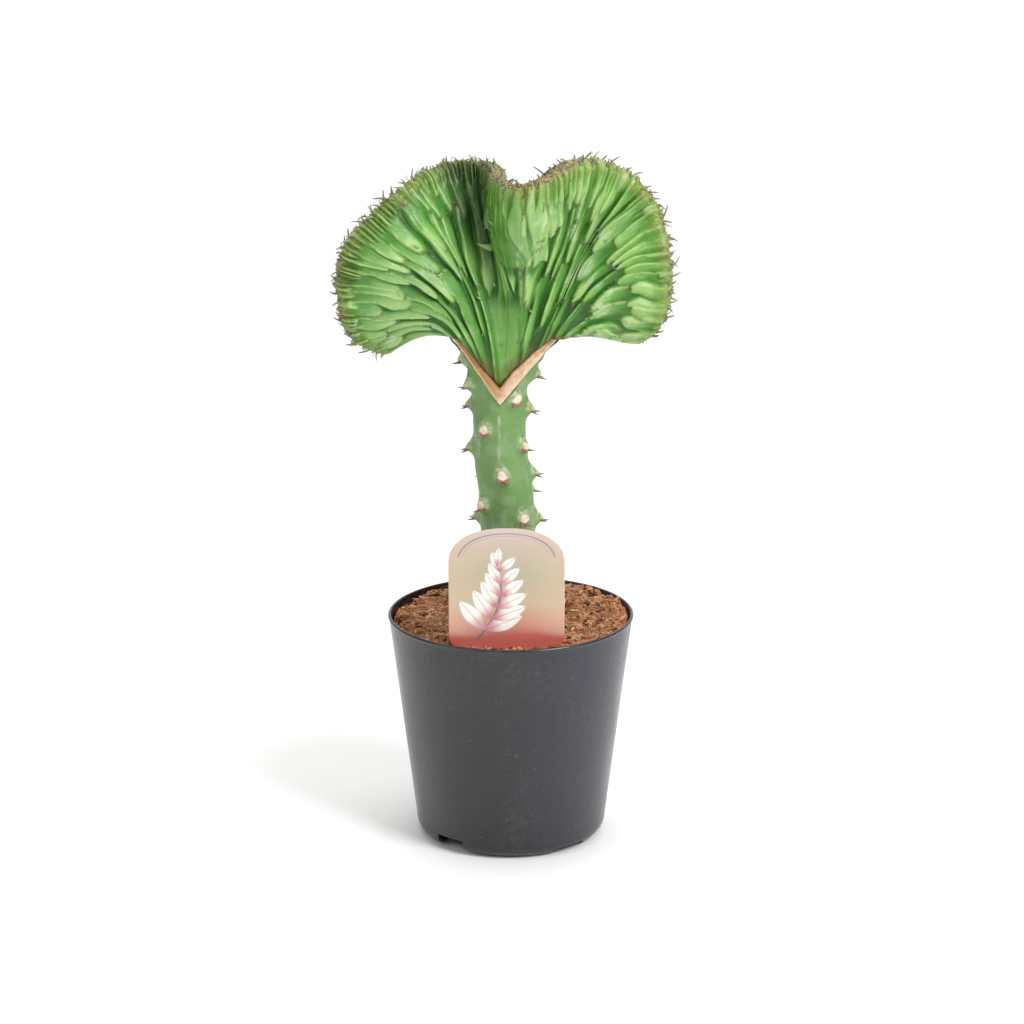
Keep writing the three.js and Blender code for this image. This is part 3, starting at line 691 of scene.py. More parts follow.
def fan_row(face, s, v, turn):
    """Points across one face of a row, with the first five of the fan's values."""
    height, tip, crest = relief(face, s, v)
    if turn:
        # The two faces meet on top of the edge.
        share = 0.5 * smoothstep(0.2, 1, math.sin(turn))
        height = height * (1 - share) + relief(1 - face, s, v)[0] * share
    skin = fan_skin(face, s, v, np.full_like(s, turn), height)
    broad, on_flap = flap(face, s, v)
    # Lighter where the skin stands higher: partly the skin's own colour, partly painted light on the ribs
    # and painted shade in the grooves.
    tone = np.maximum(np.maximum(height, 0.62 * web(s, v)), on_flap * (0.22 + 1.05 * broad))
    # Painted shadow darkens the front below the flap's lower margin.
    tone = tone * (1 - 0.7 * (1 - face) * painted_flap_shadow(s, v))
    # Painted light from below brightens the two lower ends of the fan.
    tone = tone + 0.22 * smoothstep(0.16, 0.03, s) + 0.12 * smoothstep(0.86, 0.97, s)
    return skin, tone, tip, crest, v + 0.1 * np.sin(turn), painted_fold_shade(face, s, v)


def fan_piece():
    rings, loops, total = [], [], 0
    for t, columns, turn in fan_rows():
        s = np.linspace(0, 1, columns + 1)
        v0 = fan_starts(s)
        v = v0 + (1 - v0) * t
        front, back = ((*fan_row(face, s, v, turn), np.full_like(s, t), s) for face in (0, 1))
        if turn > math.pi / 2 - 1e-6:
            # Both faces end in this row.
            rings.append(front)
            loops.append(total + np.concatenate([np.arange(columns + 1), np.arange(columns - 1, 0, -1)]))
        else:
            rings.append([np.concatenate([f, b[-2:0:-1]]) for f, b in zip(front, back)])
            loops.append(total + np.arange(2 * columns))
        total += len(rings[-1][0])
    quads, triangles = [], []
    for low, high in zip(loops, loops[1:]):
        if len(high) > len(low):
            triangles.append(doubling_faces(low, high))
        else:
            quads.append(ring_faces(low, high))
    # The foot, between the two faces, is closed from front to back.
    foot = loops[0]
    half = len(foot) // 2
    front, back = foot[: half + 1], np.concatenate([[foot[0]], foot[: half - 1 : -1]])
    quads.append(np.stack([front[1:-2], back[1:-2], back[2:-1], front[2:-1]], -1))
    triangles.append(np.array([[front[0], back[1], front[1]], [front[-2], back[-2], front[-1]]]))
    points, *values = joined(rings)
    values = dict(zip(FAN_VALUES, values))
    return new_mesh("crest_skin", points, np.concatenate(quads), np.concatenate(triangles), **values)


STREAKS = (230, 8)  # along the growing edge and outward
DIP_X = 8  # the middle of the dip in the growing edge
GREENS = (0.0, "204b10"), (0.16, "346c1b"), (0.36, "47802a"), (0.62, "679a43"), (0.95, "92b568")


def fan_material():
    skin = Surface("fan_skin", Roughness=0.38, Specular_IOR_Level=0.45)
    ridge, out = skin.attribute("ridge"), skin.attribute("out")
    mottle, fine = skin.noise(8, 3.0), skin.noise(1.4, 3.0)
    # Fine streaks run outward with the ribs.
    streak = skin.streaks(skin.attribute("around") * STREAKS[0], out * STREAKS[1], 3.0, 0.6)
    # The green is lighter on high skin: partly its own colour, partly painted light on the ribs and painted
    # shade in the grooves.
    tone = ridge + (mottle - 0.5) * 0.4 + (streak - 0.5) * 0.5 + (fine - 0.5) * 0.14
    skin.base = skin.ramp(tone, *GREENS)
    grey = skin.step(0.42, 0.62, skin.noise(24, 2.0)) * skin.step(0.3, 0.6, ridge)
    skin.lay("809c76", grey * 0.25)
    # A pale line along the crests: partly the skin's own colour, partly painted highlight.
    line = skin.attribute("crest") * skin.step(0.3, 0.6, skin.noise(5, 2.0))
    skin.lay("b9d084", line * 0.65)
    bloom = skin.step(0.55, 0.68, skin.noise(13, 3.0)) * skin.step(0.4, 0.7, ridge)
    skin.lay("bccdae", bloom * skin.step(0.35, 0.6, streak) * 0.6)
    # The growing edge is young and green, with dried knobs on it, most of them where it dips.
    skin.lay("6f9432", skin.step(0.9, 1.02, out) * 0.35)
    crust = skin.step(0.955, 1.02, out) * skin.step(0.49, 0.6, skin.noise(1.8, 4.0))
    skin.lay("8f8b4b", crust * 0.85)
    dip = skin.step(30, 16, abs(skin.axis(0) - DIP_X))
    crown = skin.step(1.05, 1.09, out) * skin.step(0.3, 0.5, skin.noise(1.6, 3.0))
    skin.lay("a18660", crown * (dip * 0.6 + 0.25))
    # Painted shade darkens the skin deep in the folds.
    skin.lay("143008", skin.attribute("deep") * 0.75)
    # Browner and darker at the foot, beside the callus.
    foot_brown = skin.step(0.09, 0.0, skin.attribute("foot")) * skin.step(0.35, 0.6, mottle)
    skin.lay("5a4018", foot_brown * 0.7)
    skin.lay("6b4a2c", skin.attribute("tip") * skin.step(0.3, 0.6, fine))
    return skin.finished(fine + streak, 0.2, roughness=mottle * 0.25 + 0.28)


# Spines of the fan and the small knobs of its growing edge

EDGE_HOOKS = 84
EDGE_BUDS = 180


def fan_points(face, s, v, turn):
    """Skin points, with the ways out of the skin, away from the graft, through the fan and along it."""
    height, *_ = relief(face, s, v)
    _, outward, normal, along = fan_frame(s, v)
    normal = normal * (1 - 2 * face)
    skin = unit(normal * np.cos(turn)[:, None] + outward * np.sin(turn)[:, None])
    return fan_skin(face, s, v, turn, height), skin, outward, normal, along


def edge_hooks(face, rng):
    """Curled hooks along the growing edge. Like the next two, this gives what strand_piece takes."""
    at = (np.arange(EDGE_HOOKS) + 0.5 * face + rng.uniform(-0.35, 0.35, EDGE_HOOKS)) / EDGE_HOOKS
    at = np.clip(at, 0.006, 0.994)
    turn = rng.uniform(0.35, 1.35, len(at))
    points, skin, outward, _, along = fan_points(face, at, np.ones_like(at), turn)
    ways = 0.5 * skin + 0.8 * outward + 0.3 * rng.normal(0, 1, (len(at), 3))
    lengths = rng.uniform(3.0, 4.8, len(at))
    bends = 0.7 * along * rng.choice([-1, 1], len(at))[:, None] + 0.2 * rng.normal(0, 1, (len(at), 3))
    return points - 0.5 * skin, ways, lengths, rng.uniform(0.56, 0.74, len(at)), bends


def edge_bristles(face, rng):
    """Short ones between the hooks, at the ends of the small ribs."""
    count = 2 * EDGE_HOOKS
    at = np.clip(rng.uniform(0, 1, count), 0.004, 0.996)
    turn = rng.uniform(0.0, 1.45, count)
    v = np.where(turn < 0.3, rng.uniform(0.96, 1, count), 1.0)
    points, skin, outward, *_ = fan_points(face, at, v, turn)
    ways = skin + 0.6 * outward + 0.45 * rng.normal(0, 1, (count, 3))
    bends = 0.4 * rng.normal(0, 1, (count, 3))
    return points - 0.3 * skin, ways, rng.uniform(1.0, 2.0, count), np.full(count, 0.24), bends


def tooth_pairs(face, rng):
    """Pairs on half of the teeth of a face."""
    places = []
    for place, start, pitch, _, slant in FACES[face]:
        step = tooth_pitch(place, pitch)
        first = start if start > 0 else start + step * math.ceil((0.12 - start) / step)
        for v in np.arange(first, 0.9, step):
            if 0.12 < v and 0.01 < place < 0.99 and rng.random() < 0.5:
                places.append((place + 0.5 * slant * rib_spacing(v), v + 0.06 * step))
    s, v = np.repeat(places, 2, axis=0).T.copy()
    hand = np.tile([-1.0, 1.0], len(places))[:, None]
    points, _, outward, normal, along = fan_points(face, s, v, 0 * s)
    ways = normal - 0.7 * outward + 0.5 * along * hand + 0.2 * rng.normal(0, 1, points.shape)
    lengths = rng.uniform(1.1, 2.0, len(s))
    roots = points + 0.25 * along * hand - 0.3 * normal
    bends = -0.3 * outward + 0.1 * rng.normal(0, 1, points.shape)
    clear = clears_graft(points) & (points[:, 2] > EAR_TOP - 8)
    return [part[clear] for part in (roots, ways, lengths, np.full(len(s), 0.26), bends)]


def fan_spines(rng):
    groups = [grown(face, rng) for face in (0, 1) for grown in (edge_hooks, edge_bristles, tooth_pairs)]
    return strand_piece("crest_spines", joined(groups), rng, 6, 7, taper=0.5, tip=0.32)


# Large teeth in front: across and up as the camera sees them, which way they point, length, radius.
SPURS = [
    (-11.5, 297.4, (-1.0, -0.55, 0.1), 8.0, 2.1), (-8.8, 308.2, (-0.7, -0.8, 0.3), 5.0, 1.2),
    (31.3, 309.2, (0.5, -0.8, 0.6), 5.0, 1.0), (5.9, 309.5, (-0.2, -1.0, 0.2), 3.0, 0.8),
    (9.8, 265.0, (0.5, -0.8, -0.2), 3.2, 0.8), (-33.0, 283.0, (-0.5, -0.8, -0.4), 4.0, 0.9),
    (-15.0, 272.0, (-0.6, -0.8, 0.2), 3.4, 0.9), (-7.8, 279.0, (-0.3, -0.9, 0.4), 3.2, 0.8),
    (75.5, 283.0, (1.0, -0.2, 0.1), 5.5, 1.3), (36.0, 262.0, (0.4, -0.9, 0.3), 3.2, 0.8),
    (-44.0, 296.0, (-0.4, -0.8, 0.5), 3.6, 0.8), (45.0, 300.0, (0.5, -0.8, 0.4), 3.8, 0.8),
]
SPUR_BEND = (0, 0.25, 0.2)
VIEW_TILT = math.radians(16)  # how far the camera looks down
VIEW_PLANE = -13  # the y at which up is a height


def fan_spurs():
    s, v = (grid.ravel() for grid in np.meshgrid(np.linspace(0.01, 0.99, 500), np.linspace(0.25, 1, 160)))
    skin = fan_skin(0, s, v, 0 * s, relief(0, s, v)[0])
    up = skin[:, 2] * math.cos(VIEW_TILT) + (skin[:, 1] - VIEW_PLANE) * math.sin(VIEW_TILT)
    spurs = []
    for across, height, way, length, radius in SPURS:
        far = np.hypot(skin[:, 0] - across, up - height * math.cos(VIEW_TILT)) + 0.03 * skin[:, 1]
        way = unit(np.array(way))
        root = skin[np.argmin(far)] - 0.35 * length * way * [1, 0, 1] + [0, 0.3, 0]
        spurs.append((root, way, length, radius, SPUR_BEND))
    return strand_piece("crest_spurs", zip(*spurs), None, 8, 9, taper=0.95)


def fan_buds(rng):
    """Small knobs on top of the growing edge, thickest where it dips in the middle."""
    template, faces = ball_template()
    groups = []
    for face in (0, 1):
        spread = rng.uniform(0, 1, EDGE_BUDS)
        dip = 0.53 + 0.06 * rng.normal(0, 1, EDGE_BUDS)
        s = np.clip(np.concatenate([spread, dip]), 0.006, 0.994)
        turn = np.clip(np.pi / 2 - np.abs(rng.normal(0, 0.42, len(s))), 0.1, 1.57)
        points, skin, *_ = fan_points(face, s, np.ones_like(s), turn)
        size = rng.uniform(0.32, 0.62, len(s))[:, None]
        first, second = perpendiculars(unit(skin + 0.4 * rng.normal(0, 1, skin.shape)))
        axes = [first * size * 0.8, second * size, np.cross(first, second) * size * 1.35]
        groups.append((points + 0.1 * skin, np.stack(axes, 1)))
    centres, axes = joined(groups)
    points, made = scattered(template, faces, centres, axes)
    tone = np.repeat(rng.random(len(centres)), len(template))
    share = np.tile((template[:, 2] + 1) / 2, len(centres))
    return new_mesh("crest_buds", points, made, share=share, tone=tone)


def spine_material(name, root, middle, tip):
    spine = Surface(name, Roughness=0.5)
    spine.base = spine.ramp(spine.attribute("share"), (0.0, root), (0.45, middle), (1.0, tip))
    spine.lay(spine.mix(0.3, spine.base, "bdb894"), spine.attribute("tone"))
    return spine.finished(spine.noise(0.5, 2.0), 0.05)


# Stock

# Height, middle x, and half the width and the depth there.
STOCK_SHAPE = [
    (52, 0.5, 10, 10), (58, 0.5, 13, 13), (100, -0.5, 13.6, 13.4), (150, -1.3, 13.1, 13),
    (172, -2.2, 13.2, 13), (190, -4.6, 12.7, 12.8), (204, -5.4, 12.4, 12.8), (216, -5.3, 12.5, 12.8),
    (225, -5.2, 13, 12.6), (234.5, -4.4, 15.9, 11.8), (241, -3.4, 19, 10.8), (250.5, -2.9, 26.4, 9.2),
]
# The tubercles: degrees round the stem from the front, and height.
AREOLES = [
    (-33, 206), (35, 221), (56, 197.5), (0, 184), (-54, 168), (35, 162),
    (-72, 227), (-98, 238), (-95, 216.5), (-88, 195.5), (-100, 160),
    (94, 231), (80, 215), (86, 183), (88, 160),
    (150, 212), (-148, 218), (180, 190), (128, 172), (-140, 178), (165, 152),
    (0, 142), (-55, 130), (60, 128), (120, 134), (-120, 128), (180, 122),
]
TUBERCLE_REACH = 6.4
TUBERCLE_HEIGHT = (2.6, 4.8)  # in front, and at the sides and back
SCAR_RADIUS = (2.15, 1.5)
FLAT_TOP = (1.7, 0.5)
DASH_UP = 5.2  # how far above a scar its dark dash lies
CUT = np.array([(-29.6, 252.6), (-5.2, 219.5), (23.6, 251.2)], float)
# A pale line down the front of the stem.
STRIPE_X = -5.6
STRIPE_ENDS = (186, 222)
STRIPE_FADE = 10


def at_side(degrees):
    """0 for a tubercle in front and 1 for one at the side or the back."""
    return float(smoothstep(48, 68, abs(degrees)))


def sided(pair, degrees):
    return between(pair, at_side(degrees))


def stock_row(z):
    """Middle x and half the width and the depth of the stem at a height."""
    return tuple(along_table([(row[0], row[k]) for row in STOCK_SHAPE], z) for k in (1, 2, 3))


def five_angled(turn):
    return 1 + 0.035 * np.cos(5 * turn)


def stock_skin(turn, z):
    """A point of the stem's five-angled skin. Turn 0 faces -Y."""
    middle, wide, deep = stock_row(z)
    angles = five_angled(turn)
    x = middle + wide * angles * np.sin(turn)
    return np.stack([x, -deep * angles * np.cos(turn), z + 0 * x], -1)


def cut_height(x):
    return np.minimum(np.interp(x, CUT[:, 0], CUT[:, 1]) - SEAT_GAP, STOCK_HIGH[2])


STOCK_COLUMNS = 224
STOCK_ROWS = ((-1, 12), (100, 230), (212, 80))  # from a height, or from the buried end, and how many
TOP_DROP = 2.5


def stock_tops(turn):
    """The height at which the V cut, or the top of an ear, ends each line of the skin."""
    low, high = np.full_like(turn, 200.0), np.full_like(turn, STOCK_HIGH[2])
    for _ in range(18):
        middle = (low + high) / 2
        under = middle < cut_height(stock_skin(turn, middle)[..., 0])
        low, high = np.where(under, middle, low), np.where(under, high, middle)
    return low


def stock_grid():
    """Turns and heights of the skin's points, row by row."""
    turn = (np.arange(STOCK_COLUMNS) + 0.5) / STOCK_COLUMNS * 2 * math.pi
    turn = turn + 0.25 * np.sin(2 * turn)  # closer together at the sides, where the ears end
    tops = stock_tops(turn)
    for _ in range(6):
        # A top that drops fast from one line to the next is drawn out.
        tops = np.minimum(tops, np.minimum(np.roll(tops, 1), np.roll(tops, -1)) + TOP_DROP)
    starts = [max(height, STOCK_LOW[2]) for height, _ in STOCK_ROWS] + [tops]
    rows = []
    for low, high, (_, count) in zip(starts, starts[1:], STOCK_ROWS):
        rows += [low + (high - low) * t + 0 * tops for t in np.arange(count) / count]
    z = np.stack(rows + [tops])
    return np.broadcast_to(turn, z.shape), z


def tubercle(number, dx, dz):
    """Height of a tubercle, and how much of its scar, rim, halo and dash, at a place beside its middle."""
    degrees, _ = AREOLES[number]
    flat, wide, side = sided(FLAT_TOP, degrees), sided(SCAR_RADIUS, degrees), at_side(degrees)
    away = np.hypot(dx, np.where(dz > 0, dz / 1.5, dz / 1.05))
    slope = 1 - np.clip((away - flat) / (TUBERCLE_REACH - flat), 0, 1)
    mound = sided(TUBERCLE_HEIGHT, degrees) * slope ** (1.8 + 0.5 * side)
    mound = mound - 0.3 * smoothstep(wide, wide * 0.4, away)
    wobble = 0.13 * np.sin(3 * np.arctan2(dz, dx) + 2 * number)
    scar = (1 - 0.45 * side) * smoothstep(wide + 0.35, wide - 0.35, away + wobble)
    lower = smoothstep(0.7, -1.3, dz)
    rim = np.exp(-(((away - wide + 0.3 * lower) / 0.95) ** 2)) * (0.15 + 0.85 * lower)
    halo = np.exp(-(((away - wide - 1.0) / 0.9) ** 2)) * (1 - lower)
    dash = np.exp(-((dx / 1.9) ** 2) - ((dz - DASH_UP - 0.12 * dx) / 0.55) ** 2)
    return mound, scar, rim, halo, dash


def stock_piece():
    around, z = stock_grid()
    base = stock_skin(around, z)
    radius = np.hypot(base[..., 0] - stock_row(z)[0], base[..., 1])
    values = np.zeros((5, *z.shape))
    for number, (degrees, height) in enumerate(AREOLES):
        gap = (around - math.radians(degrees) + math.pi) % (2 * math.pi) - math.pi
        values = np.maximum(values, tubercle(number, gap * radius, z - height))
    bump, scar, rim, halo, dash = values
    skin = 0.22 * noise(base, 11, 8) + 0.09 * noise(base, 3, 9)
    out = np.stack([np.sin(around), -np.cos(around), 0 * z], -1)
    points = base + out * (bump + skin)[..., None]
    numbers, quads = stacked(points)
    groups = [quads]
    # The cut is ruled from front to back, and the buried end is closed the same way.
    half = STOCK_COLUMNS // 2
    for loop, flip in ((numbers[-1], 1), (numbers[0], -1)):
        order = np.roll(loop, half // 2)
        right, left = order[:half], order[: half - 1 : -1]
        groups.append(np.stack([right[:-1], right[1:], left[1:], left[:-1]], -1)[:, ::flip])
    return new_mesh(
        "stock_skin", points, np.concatenate(groups),
        scar=scar, rim=rim, halo=halo, dash=dash, mound=bump / TUBERCLE_HEIGHT[1],
    )


def stock_spines(rng):
    spines = []
    for degrees, height in AREOLES:
        turn, side = math.radians(degrees), at_side(degrees)
        aside = np.array([math.cos(turn), math.sin(turn), 0])
        out = np.array([math.sin(turn), -math.cos(turn), 0])
        rise = sided(TUBERCLE_HEIGHT, degrees) * (0.45 + 0.2 * side)
        foot = stock_skin(np.array(turn), np.array(float(height))) + out * rise
        for hand in (-1, 1):
            root = foot + aside * hand * (1.1 - 0.5 * side) - np.array([0, 0, 1.7 - 0.9 * side])
            way = out + aside * 0.45 * hand + np.array([0, 0, -0.3]) + 0.12 * rng.normal(0, 1, 3)
            bend = 0.12 * aside * hand + np.array([0, 0, 0.1])
            spines.append((root, way, rng.uniform(3.6, 4.8), 0.85, bend))
    return strand_piece("stock_spines", zip(*spines), rng, 8, 7, taper=1.0)


def stock_material():
    skin = Surface("stem_skin", Roughness=0.45, Specular_IOR_Level=0.45)
    x, y, z = (skin.axis(k) for k in range(3))
    fine = skin.noise(2.2, 3.0)
    broad = skin.noise(22, 3.0, stretch=(1, 1, 0.4))
    skin.base = skin.ramp(broad, (0.25, "4c7236"), (0.5, "63884a"), (0.75, "7b9a5c"))
    skin.lay("93a388", skin.step(0.52, 0.7, skin.noise(9, 4.0)) * 0.4)
    skin.lay("8f9f78", skin.attribute("mound") * 0.3)
    skin.lay("1d4a23", skin.attribute("dash"))
    skin.lay("b9c2a4", skin.step(0.7, 0.78, fine) * 0.3)
    skin.lay("c3bfa8", skin.step(0.62, 0.72, skin.noise(12, 4.0, stretch=(1, 1, 0.25))) * 0.45)
    low, top = STRIPE_ENDS
    tall = skin.step(low, low + STRIPE_FADE, z) * skin.step(top, top - STRIPE_FADE, z)
    stripe = skin.step(1.2, 0.3, abs(x - STRIPE_X)) * tall * skin.step(0, -1, y)
    skin.lay("b4c2a2", stripe * skin.step(0.35, 0.65, skin.noise(4, 3.0)) * 0.5)
    skin.lay("bcc0a0", skin.attribute("halo") * skin.step(0.3, 0.6, skin.noise(1.6, 3.0)) * 0.6)
    cork = skin.ramp(fine, (0.3, "c9a68c"), (0.5, "e0ccb8"), (0.75, "f0e6d8"))
    skin.lay(cork, skin.attribute("scar"))
    rim = skin.step(0.15, 0.75, skin.attribute("rim")) * skin.step(0.2, 0.4, skin.noise(1.2, 3.0))
    skin.lay("93492c", rim * 0.9)
    return skin.finished(fine, 0.15, roughness=fine * 0.25 + 0.33)


# Callus: a corky band that follows the V between the stock and the fan

CALLUS_PROUD = 0.7
CALLUS_BULGE = 0.45
CALLUS_STEPS = 150
CALLUS_SIDE = 10
# Where the corners of the cut, and those of the fan's seat, lie along the band.
CUT_SHARES = (0, 0.5, 1)
SEAT_SHARES = (0, 0.5, 0.62, 0.8, 1)


def body_depths(place):
    """How far in front of the middle plane, and behind it, the band's skin lies at each (x, z)."""
    x, z = place[..., 0], place[..., 1]
    middle, wide, deep = stock_row(z)
    depths = []
    for facing in (1, -1):
        turn = np.zeros_like(x) + (0 if facing == 1 else math.pi)
        for _ in range(14):
            share = np.clip((x - middle) / (wide * five_angled(turn) + CALLUS_PROUD), -1, 1)
            turn = np.arcsin(share) if facing == 1 else math.pi - np.arcsin(share)
        depths.append((deep * five_angled(turn) + CALLUS_PROUD) * np.abs(np.cos(turn)))
    return depths


def callus_piece():
    """Loops about the band: each runs along its front, its top, its back and its underside."""
    u = np.linspace(0, 1, CALLUS_STEPS)
    low_edge = np.stack([np.interp(u, CUT_SHARES, CUT[:, k]) for k in (0, 1)], -1)
    high_edge = np.stack([np.interp(u, SEAT_SHARES, SEAT[:, k]) for k in (0, 1)], -1)
    low, high = low_edge[:, None], high_edge[:, None]
    side = np.arange(CALLUS_SIDE) / CALLUS_SIDE
    bulge = CALLUS_BULGE * np.sin(math.pi * side)
    front = low + (high - low) * side[:, None]
    back = high + (low - high) * side[:, None]
    (high_front, high_back), (low_front, low_back) = body_depths(high), body_depths(low)
    faces = (
        (front, -(body_depths(front)[0] + bulge)),
        (high, -high_front + (high_front + high_back) * side),
        (back, body_depths(back)[1] + bulge),
        (low, low_back - (low_front + low_back) * side),
    )
    loops = [np.stack(np.broadcast_arrays(place[..., 0], y, place[..., 1]), -1) for place, y in faces]
    points = np.concatenate(loops, axis=1)
    outward = unit(points - points.mean(axis=1, keepdims=True))
    grain = points * [1, 0.4, 1]
    rough = 0.42 * noise(grain, 3.4, 21) + 0.22 * noise(grain, 1.2, 22)
    points = points + outward * rough[..., None]
    numbers, quads = stacked(points)
    inward = np.tile(np.concatenate([side, 1 + 0 * side, 1 - side, 0 * side]), CALLUS_STEPS)
    along = np.repeat(run_along(low_edge), 4 * CALLUS_SIDE)
    return new_mesh("callus_cork", points, quads, caps_of(numbers), inward=inward, along=along)


def callus_material():
    """Cork with fibres that run across the band, paler and yellower on its left half."""
    cork = Surface("corky_callus", Roughness=0.8)
    inward = cork.attribute("inward")
    streak = cork.streaks(cork.attribute("along") * 1.5, inward * 1.6, 4.0, 0.65)
    left = cork.step(-4, -8, cork.axis(0))
    cork.base = cork.ramp(cork.noise(3.0, 3.0), (0.3, "b48f70"), (0.5, "cfb094"), (0.68, "dcc2aa"))
    cork.lay("c3a468", left * 0.7)
    brown = cork.step(0.4, 0.85, streak * 0.4 + left * 0.2 + inward)
    cork.lay("a0652f", brown * (left * 0.3 + 0.3))
    cork.lay("7d5228", cork.step(0.8, 1.0, inward) * 0.75)
    cork.lay("dccba6", cork.step(0.45, 0.02, inward) * 0.6)
    cork.lay("97714b", cork.step(0.56, 0.7, streak) * 0.4)
    return cork.finished(streak * 0.5 + cork.noise(1.3, 4.0), 0.5)


# Pot

POT_HEIGHT = POT_HIGH[2]
POT_RIM = POT_HIGH[0]
POT_FOOT = 46.8
POT_CORNER = 8.0
POT_WALL = 1.2
POT_LIP = 0.3
POT_LIP_HEIGHT = 1.6
POT_FLOOR = 3.6
POT_SEGMENTS = 240
DRAINS = 5
DRAIN_FIRST = -50  # degrees about the axis
DRAIN_STEP = 70
POT_UNDER = [
    (0, 1.2), (4, 1.1), (13, 0.5), (14.2, 0), (15.2, 0.3), (16, 1.8), (34, 1.8), (35.4, 0.6), (36.2, 0),
]
# Each drain is cut three times: a notch, which the first one lacks, an arch and a shallow channel.
# First drain that is cut, width, lowest and highest z, start and end from the axis, corner radius.
DRAIN_CUTS = [
    (1, 16, -3, 7.6, POT_FOOT - 7, POT_FOOT + 3, 0.7),
    (0, 20, -5, 3.8, POT_FOOT - 3.6, POT_FOOT + 3.2, 3.2),
    (0, 22, -6, 2.2, POT_FOOT - 14, POT_FOOT + 3.4, 1.6),
]

# Specks: cell in millimetres, size and empty cells as shares, and colour.
POT_SPECKS = ((8.0, 0.08, 0.86, "6f6c68"), (10.0, 0.11, 0.8, "0e0e0e"), (4.2, 0.07, 0.92, "5f5a55"))


def pot_radius(z):
    top = POT_RIM - POT_LIP
    return POT_FOOT + (top - POT_FOOT) * (z - POT_CORNER) / (POT_HEIGHT - POT_CORNER)


def arc(middle, radius, start, end, steps):
    turns = np.radians(np.linspace(start, end, steps))
    return [(middle[0] + radius * math.cos(a), middle[1] + radius * math.sin(a)) for a in turns]


def pot_profile():
    """Radius and height, from the middle of the underside round to the middle of the floor inside."""
    lip_foot = POT_HEIGHT - POT_LIP_HEIGHT
    walls = np.linspace(POT_CORNER + 1, lip_foot - 0.6, 26)
    corner = arc((POT_FOOT - 7.5, 7.5), 7.5, -84, -4, 10)
    wall = [(pot_radius(z), z) for z in walls]
    lip = [(POT_RIM - 0.45, lip_foot + 0.05), (POT_RIM - 0.05, lip_foot + 0.5)]
    lip += arc((POT_RIM - 0.9, POT_HEIGHT - 0.9), 0.9, 0, 90, 6)
    inner_top = POT_RIM - POT_LIP - POT_WALL
    lip += arc((inner_top + 0.5, POT_HEIGHT - 0.5), 0.5, 100, 180, 4)
    inside = [(pot_radius(z) - POT_WALL, z) for z in walls[::-3]]
    inner_foot = POT_FOOT - POT_WALL
    floor = [(inner_foot - 1, 5.6), (inner_foot - 3.2, POT_FLOOR), (20, POT_FLOOR), (0, POT_FLOOR)]
    return POT_UNDER + corner + wall + lip + inside + floor


def pot_piece():
    profile = np.array(pot_profile())
    turn = np.arange(POT_SEGMENTS) / POT_SEGMENTS * 2 * math.pi
    r, z = profile[1:-1, :1], profile[1:-1, 1:]
    # A thin-walled pot is never quite round.
    warp = 0.22 * np.sin(2 * turn + 0.7) * (z / POT_HEIGHT) ** 2 + 0.06 * np.sin(5 * turn + z * 0.05)
    rings = circle(turn, r + warp * smoothstep(20, 45, r), z)
    numbers, quads = stacked(rings, 2)
    ends = np.array([[0, 0, profile[0, 1]], [0, 0, profile[-1, 1]]])
    under = np.stack([np.roll(numbers[0], -1), numbers[0], np.zeros(POT_SEGMENTS, int)], -1)
    floor = np.stack([numbers[-1], np.roll(numbers[-1], -1), np.ones(POT_SEGMENTS, int)], -1)
    pot = new_mesh("pot_shell", np.concatenate([ends, rings.reshape(-1, 3)]), quads, under, floor)
    for shape in DRAIN_CUTS:
        cutters = drain_cutters(*shape)
        cut = pot.modifiers.new("drains", "BOOLEAN")
        cut.operation = "DIFFERENCE"
        cut.solver = "EXACT"
        cut.object = cutters
        apply_modifiers(pot)
        bpy.data.objects.remove(cutters)
    pot.data.shade_smooth()
    pot.data.set_sharp_from_angle(angle=math.radians(38))
    return pot


def drain_cutters(first, width, low, high, near, far, round_):
    """One round-cornered block for each drain, pointing away from the axis."""
    corners = [(width / 2, high, 0), (-width / 2, high, 90), (-width / 2, low, 180), (width / 2, low, 270)]
    outline = []
    for x, z, start in corners:
        centre = (x - math.copysign(round_, x), z - round_ * (1 if z == high else -1))
        outline += arc(centre, round_, start, start + 90, 5)
    outline = np.array(outline)
    groups = []
    for i in range(first, DRAINS):
        turn = math.radians(DRAIN_FIRST + DRAIN_STEP * i)
        out = np.array([math.cos(turn), math.sin(turn), 0])
        aside = np.array([-math.sin(turn), math.cos(turn), 0])
        flat = aside * outline[:, :1] + np.array([0, 0, 1]) * outline[:, 1:]
        block = np.stack([flat + out * near, flat + out * far])
        numbers, quads = stacked(block, 2 * len(outline) * (i - first))
        groups.append((block.reshape(-1, 3), quads, caps_of(numbers)))
    return new_mesh("drain_cutters", *joined(groups))


def pot_material():
    plastic = Surface("pot_plastic", Roughness=0.36, Specular_IOR_Level=0.65)
    cloud = plastic.noise(45, 3.0)
    smear = plastic.step(0.45, 0.8, plastic.noise(15, 2.0, stretch=(1, 1, 0.5)))
    dust = plastic.step(0.62, 0.78, plastic.noise(3.4, 3.0))
    plastic.base = plastic.ramp(cloud, (0.3, "0b0c0f"), (0.7, "13151a"))
    # Painted reflection: the plastic turns bluish and lighter towards the right.
    plastic.lay("25283a", plastic.step(-10, 40, plastic.axis(0)) * 0.5)
    plastic.lay("484845", smear * plastic.step(0.42, 0.62, plastic.noise(2.6, 2.0)) * 0.3)
    plastic.lay("56524c", dust * 0.35)
    for cell, size, empty, tone in POT_SPECKS:
        plastic.lay(tone, plastic.specks(cell, size, empty))
    roughness = smear * 0.1 + cloud * 0.1 + dust * 0.2 + 0.2
    return plastic.finished(plastic.noise(30, 1.0, stretch=(1, 1, 0.5)), 0.3, roughness=roughness)


# Potting mix

